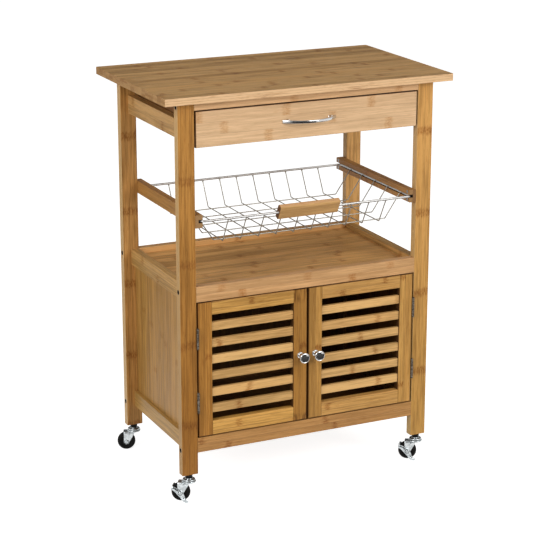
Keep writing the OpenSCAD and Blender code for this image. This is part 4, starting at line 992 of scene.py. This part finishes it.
def ribbon(shape, stations, thick):
    """A bent strip of sheet steel with a rib along its middle and its edges turned in. A station is
    its (point, direction of its width, width, height of the rib)."""
    last = len(stations) - 1
    rings = []
    for i, (p, way, wide, rib) in enumerate(stations):
        ahead = (stations[min(i + 1, last)][0] - stations[max(i - 1, 0)][0]).normalized()
        way = (way - ahead * way.dot(ahead)).normalized()
        out = ahead.cross(way)
        rises = []
        for q in ACROSS_LEVER:
            rises.append((q, rib * max(0.0, 1 - (q / 0.42) ** 2) - 0.5 * max(0.0, abs(q) - 0.8) / 0.2))
        top = [p + way * q * wide / 2 + out * (rise + thick / 2) for q, rise in rises]
        low = [p + way * q * wide / 2 + out * (rise - thick / 2) for q, rise in rises]
        edges = [p + way * q * (wide / 2 + thick * 0.35) + out * rise for q, rise in (rises[-1], rises[0])]
        rings.append(top + edges[:1] + low[::-1] + edges[1:])
    shape.rings(rings)


def make_lever(name, place):
    """One ribbon from the inner cheek over the tread, down the outer cheek to the foot tab."""
    lean = radians(LEVER_LEAN)
    tip, side_way = Vector((cos(lean), 0, sin(lean))), Vector((-sin(lean), 0, cos(lean)))
    axle = Vector((TRAIL, 0, AXLE_Z))
    stations = []

    def add(point, way, wide, rib=0.0):
        stations.append((axle + point, way, wide, rib))

    def add_bend(y_way, angles, rib):
        for a in angles:
            along = LEVER_REACH - LEVER_BEND * (1 - sin(radians(a)))
            y = y_way * (LEVER_Y - LEVER_BEND * (1 - cos(radians(a))))
            add(tip * along + Vector((0, y, 0)), side_way, LEVER_WIDE, rib)

    for along, wide in INNER_ARM:
        add(tip * along + Vector((0, -LEVER_Y, 0)), side_way, wide)
    add_bend(-1, (25, 50, 75), 0.0)
    for y in OVER_TREAD_Y:
        add(tip * LEVER_REACH + Vector((0, y, 0)), side_way, LEVER_WIDE)
    add_bend(1, (75, 50, 25), 0.2)
    arm = smooth_path(OUTER_ARM, 4)
    for i, (x, y, z, wide, rib) in enumerate(arm):
        before, after = arm[max(i - 1, 0)], arm[min(i + 1, len(arm) - 1)]
        flat = Vector((after[2] - before[2], 0, before[0] - after[0])).normalized()
        share = clamped((x - 12.0) / 6.0)
        add(Vector((x, y, z)), (side_way * share + flat * (1 - share)).normalized(), wide, rib)
    lever = Shape(place)
    ribbon(lever, stations, LEVER_THICK)
    lever.make("lever_" + name, ZINC, "brake_" + name, ["brake_" + name], sharp=50.0)


def make_caster(name):
    x0, y0, turn = CASTERS[name]
    c, s = cos(radians(turn)), sin(radians(turn))

    def place(p):
        return row(x0 + p.x * c - p.y * s, y0 + p.x * s + p.y * c, p.z)

    make_stem(name, place)
    make_fork(name, place)
    make_race_and_axle(name, place)
    make_wheel(name, place)
    if name in BRAKED:
        make_lever(name, place)


# ------------------------------ stage and light, in metres

FLOOR_HALF, FLOOR_GREY, FLOOR_GLOW = 9.0, 0.80, 0.82
WORLD_LIGHT, WORLD_SEEN = 0.26, 1.0
LOW = 0.012  # height of the flags that lie just over the floor
FLAGS = {
    "stage_flag_near": [(-1.5, -0.42, LOW), (1.7, -0.42, LOW), (1.9, -1.7, LOW), (-2.0, -1.7, LOW)],
    "stage_flag_far": [(-2.0, -1.7, LOW), (1.0, -1.7, LOW), (2.4, -4.6, LOW), (-3.0, -4.6, LOW)],
    "stage_flag_front": [(-4.5, -4.8, 0.0), (3.0, -4.8, 0.0), (3.0, -4.8, 3.4), (-4.5, -4.8, 3.4)],
    "stage_flag_side": [(-0.6, 0.3, LOW), (-0.8, 4.0, LOW), (-4.0, 4.0, LOW), (-3.0, 0.3, LOW)],
    "stage_flag_back": [(-0.5, 4.6, 1.0), (5.0, 4.6, 1.0), (5.0, 4.6, 4.0), (-0.5, 4.6, 4.0)]}


def seen_rays(nodes, links):
    """One for the rays that show the stage: from the camera, from gloss and through glass."""
    ray = nodes.new("ShaderNodeLightPath")
    seen = ray.outputs["Is Camera Ray"]
    for kind in ("Is Glossy Ray", "Is Transmission Ray"):
        either = nodes.new("ShaderNodeMath")
        either.operation = "MAXIMUM"
        links.new(seen, either.inputs[0])
        links.new(ray.outputs[kind], either.inputs[1])
        seen = either.outputs[0]
    return seen


def add_floor():
    """A pale matt floor that glows to white where it is seen, except where a shadow falls."""
    g = Graph("stage_floor")
    speck = g.noise(g.at, 6.0, 2.0, 0.5)
    grey = (FLOOR_GREY, FLOOR_GREY, FLOOR_GREY)
    g.set(Base_Color=g.blend(speck, times(grey, 0.99), grey), Roughness=0.8, Specular_IOR_Level=0.1)
    g.set(Emission_Color=(1.0, 1.0, 1.0))
    g.set(Emission_Strength=g.mul(seen_rays(g.tree.nodes, g.tree.links), FLOOR_GLOW))
    mesh = bpy.data.meshes.new("stage_floor")
    bm = bmesh.new()
    bmesh.ops.create_grid(bm, x_segments=8, y_segments=8, size=FLOOR_HALF)
    bm.to_mesh(mesh)
    bm.free()
    mesh.materials.append(g.mat)
    floor = add_object("stage_floor", mesh)


def add_flag(name, corners):
    """A dark flag seen only in reflections, as a studio has round a white table."""
    g = Graph(name)
    cloth = g.noise(g.at, 40.0, 3.0, 0.6)
    g.set(Base_Color=g.blend(cloth, (0.012, 0.012, 0.012), (0.03, 0.03, 0.03)), Roughness=0.9)
    mesh = bpy.data.meshes.new(name)
    mesh.from_pydata(corners, [], [(0, 1, 2, 3)])
    mesh.materials.append(g.mat)
    flag = add_object(name, mesh)
    flag.visible_camera = flag.visible_diffuse = flag.visible_shadow = flag.visible_transmission = False


def add_lamp(name, where, aim, size, power, glossy=True):
    data = bpy.data.lights.new(name, "AREA")
    data.shape = "RECTANGLE"
    data.size, data.size_y = size
    data.energy = power
    lamp = add_object(name, data)
    lamp.location = where
    lamp.rotation_euler = (Vector(aim) - Vector(where)).to_track_quat("-Z", "Y").to_euler()
    lamp.visible_glossy = glossy


def make_world():
    """White where it is seen, and dimmer in the light that it sheds."""
    world = bpy.data.worlds.new("studio")
    bpy.context.scene.world = world
    world.use_nodes = True
    nodes, links = world.node_tree.nodes, world.node_tree.links
    nodes.clear()
    out = nodes.new("ShaderNodeOutputWorld")
    back = nodes.new("ShaderNodeBackground")
    back.inputs["Color"].default_value = (1.0, 1.0, 1.0, 1.0)
    level = nodes.new("ShaderNodeMix")
    level.data_type = "FLOAT"
    links.new(seen_rays(nodes, links), level.inputs[0])
    level.inputs[2].default_value = WORLD_LIGHT
    level.inputs[3].default_value = WORLD_SEEN
    links.new(level.outputs[0], back.inputs["Strength"])
    links.new(back.outputs[0], out.inputs["Surface"])


def make_stage():
    add_floor()
    for name, corners in FLAGS.items():
        add_flag(name, corners)
    add_lamp("lamp_left", (-2.7, -1.5, 1.9), (0, 0, 0.5), (1.5, 1.8), 52.0)
    add_lamp("lamp_front", (1.3, -3.0, 1.9), (0, 0, 0.5), (1.7, 1.6), 58.0)
    add_lamp("lamp_top", (-0.2, -0.4, 3.0), (0, 0, 0.8), (2.2, 2.2), 6.0, glossy=False)
    make_world()


make_camera()
dress_boards()
dress_metal()
make_basket_rim()
make_basket_wires()
make_handle()
make_knob(LEFT, -KNOB_X)
make_knob(RIGHT, KNOB_X)
for name in CASTERS:
    make_caster(name)
make_stage()
bpy.context.scene.view_settings.view_transform = "Standard"
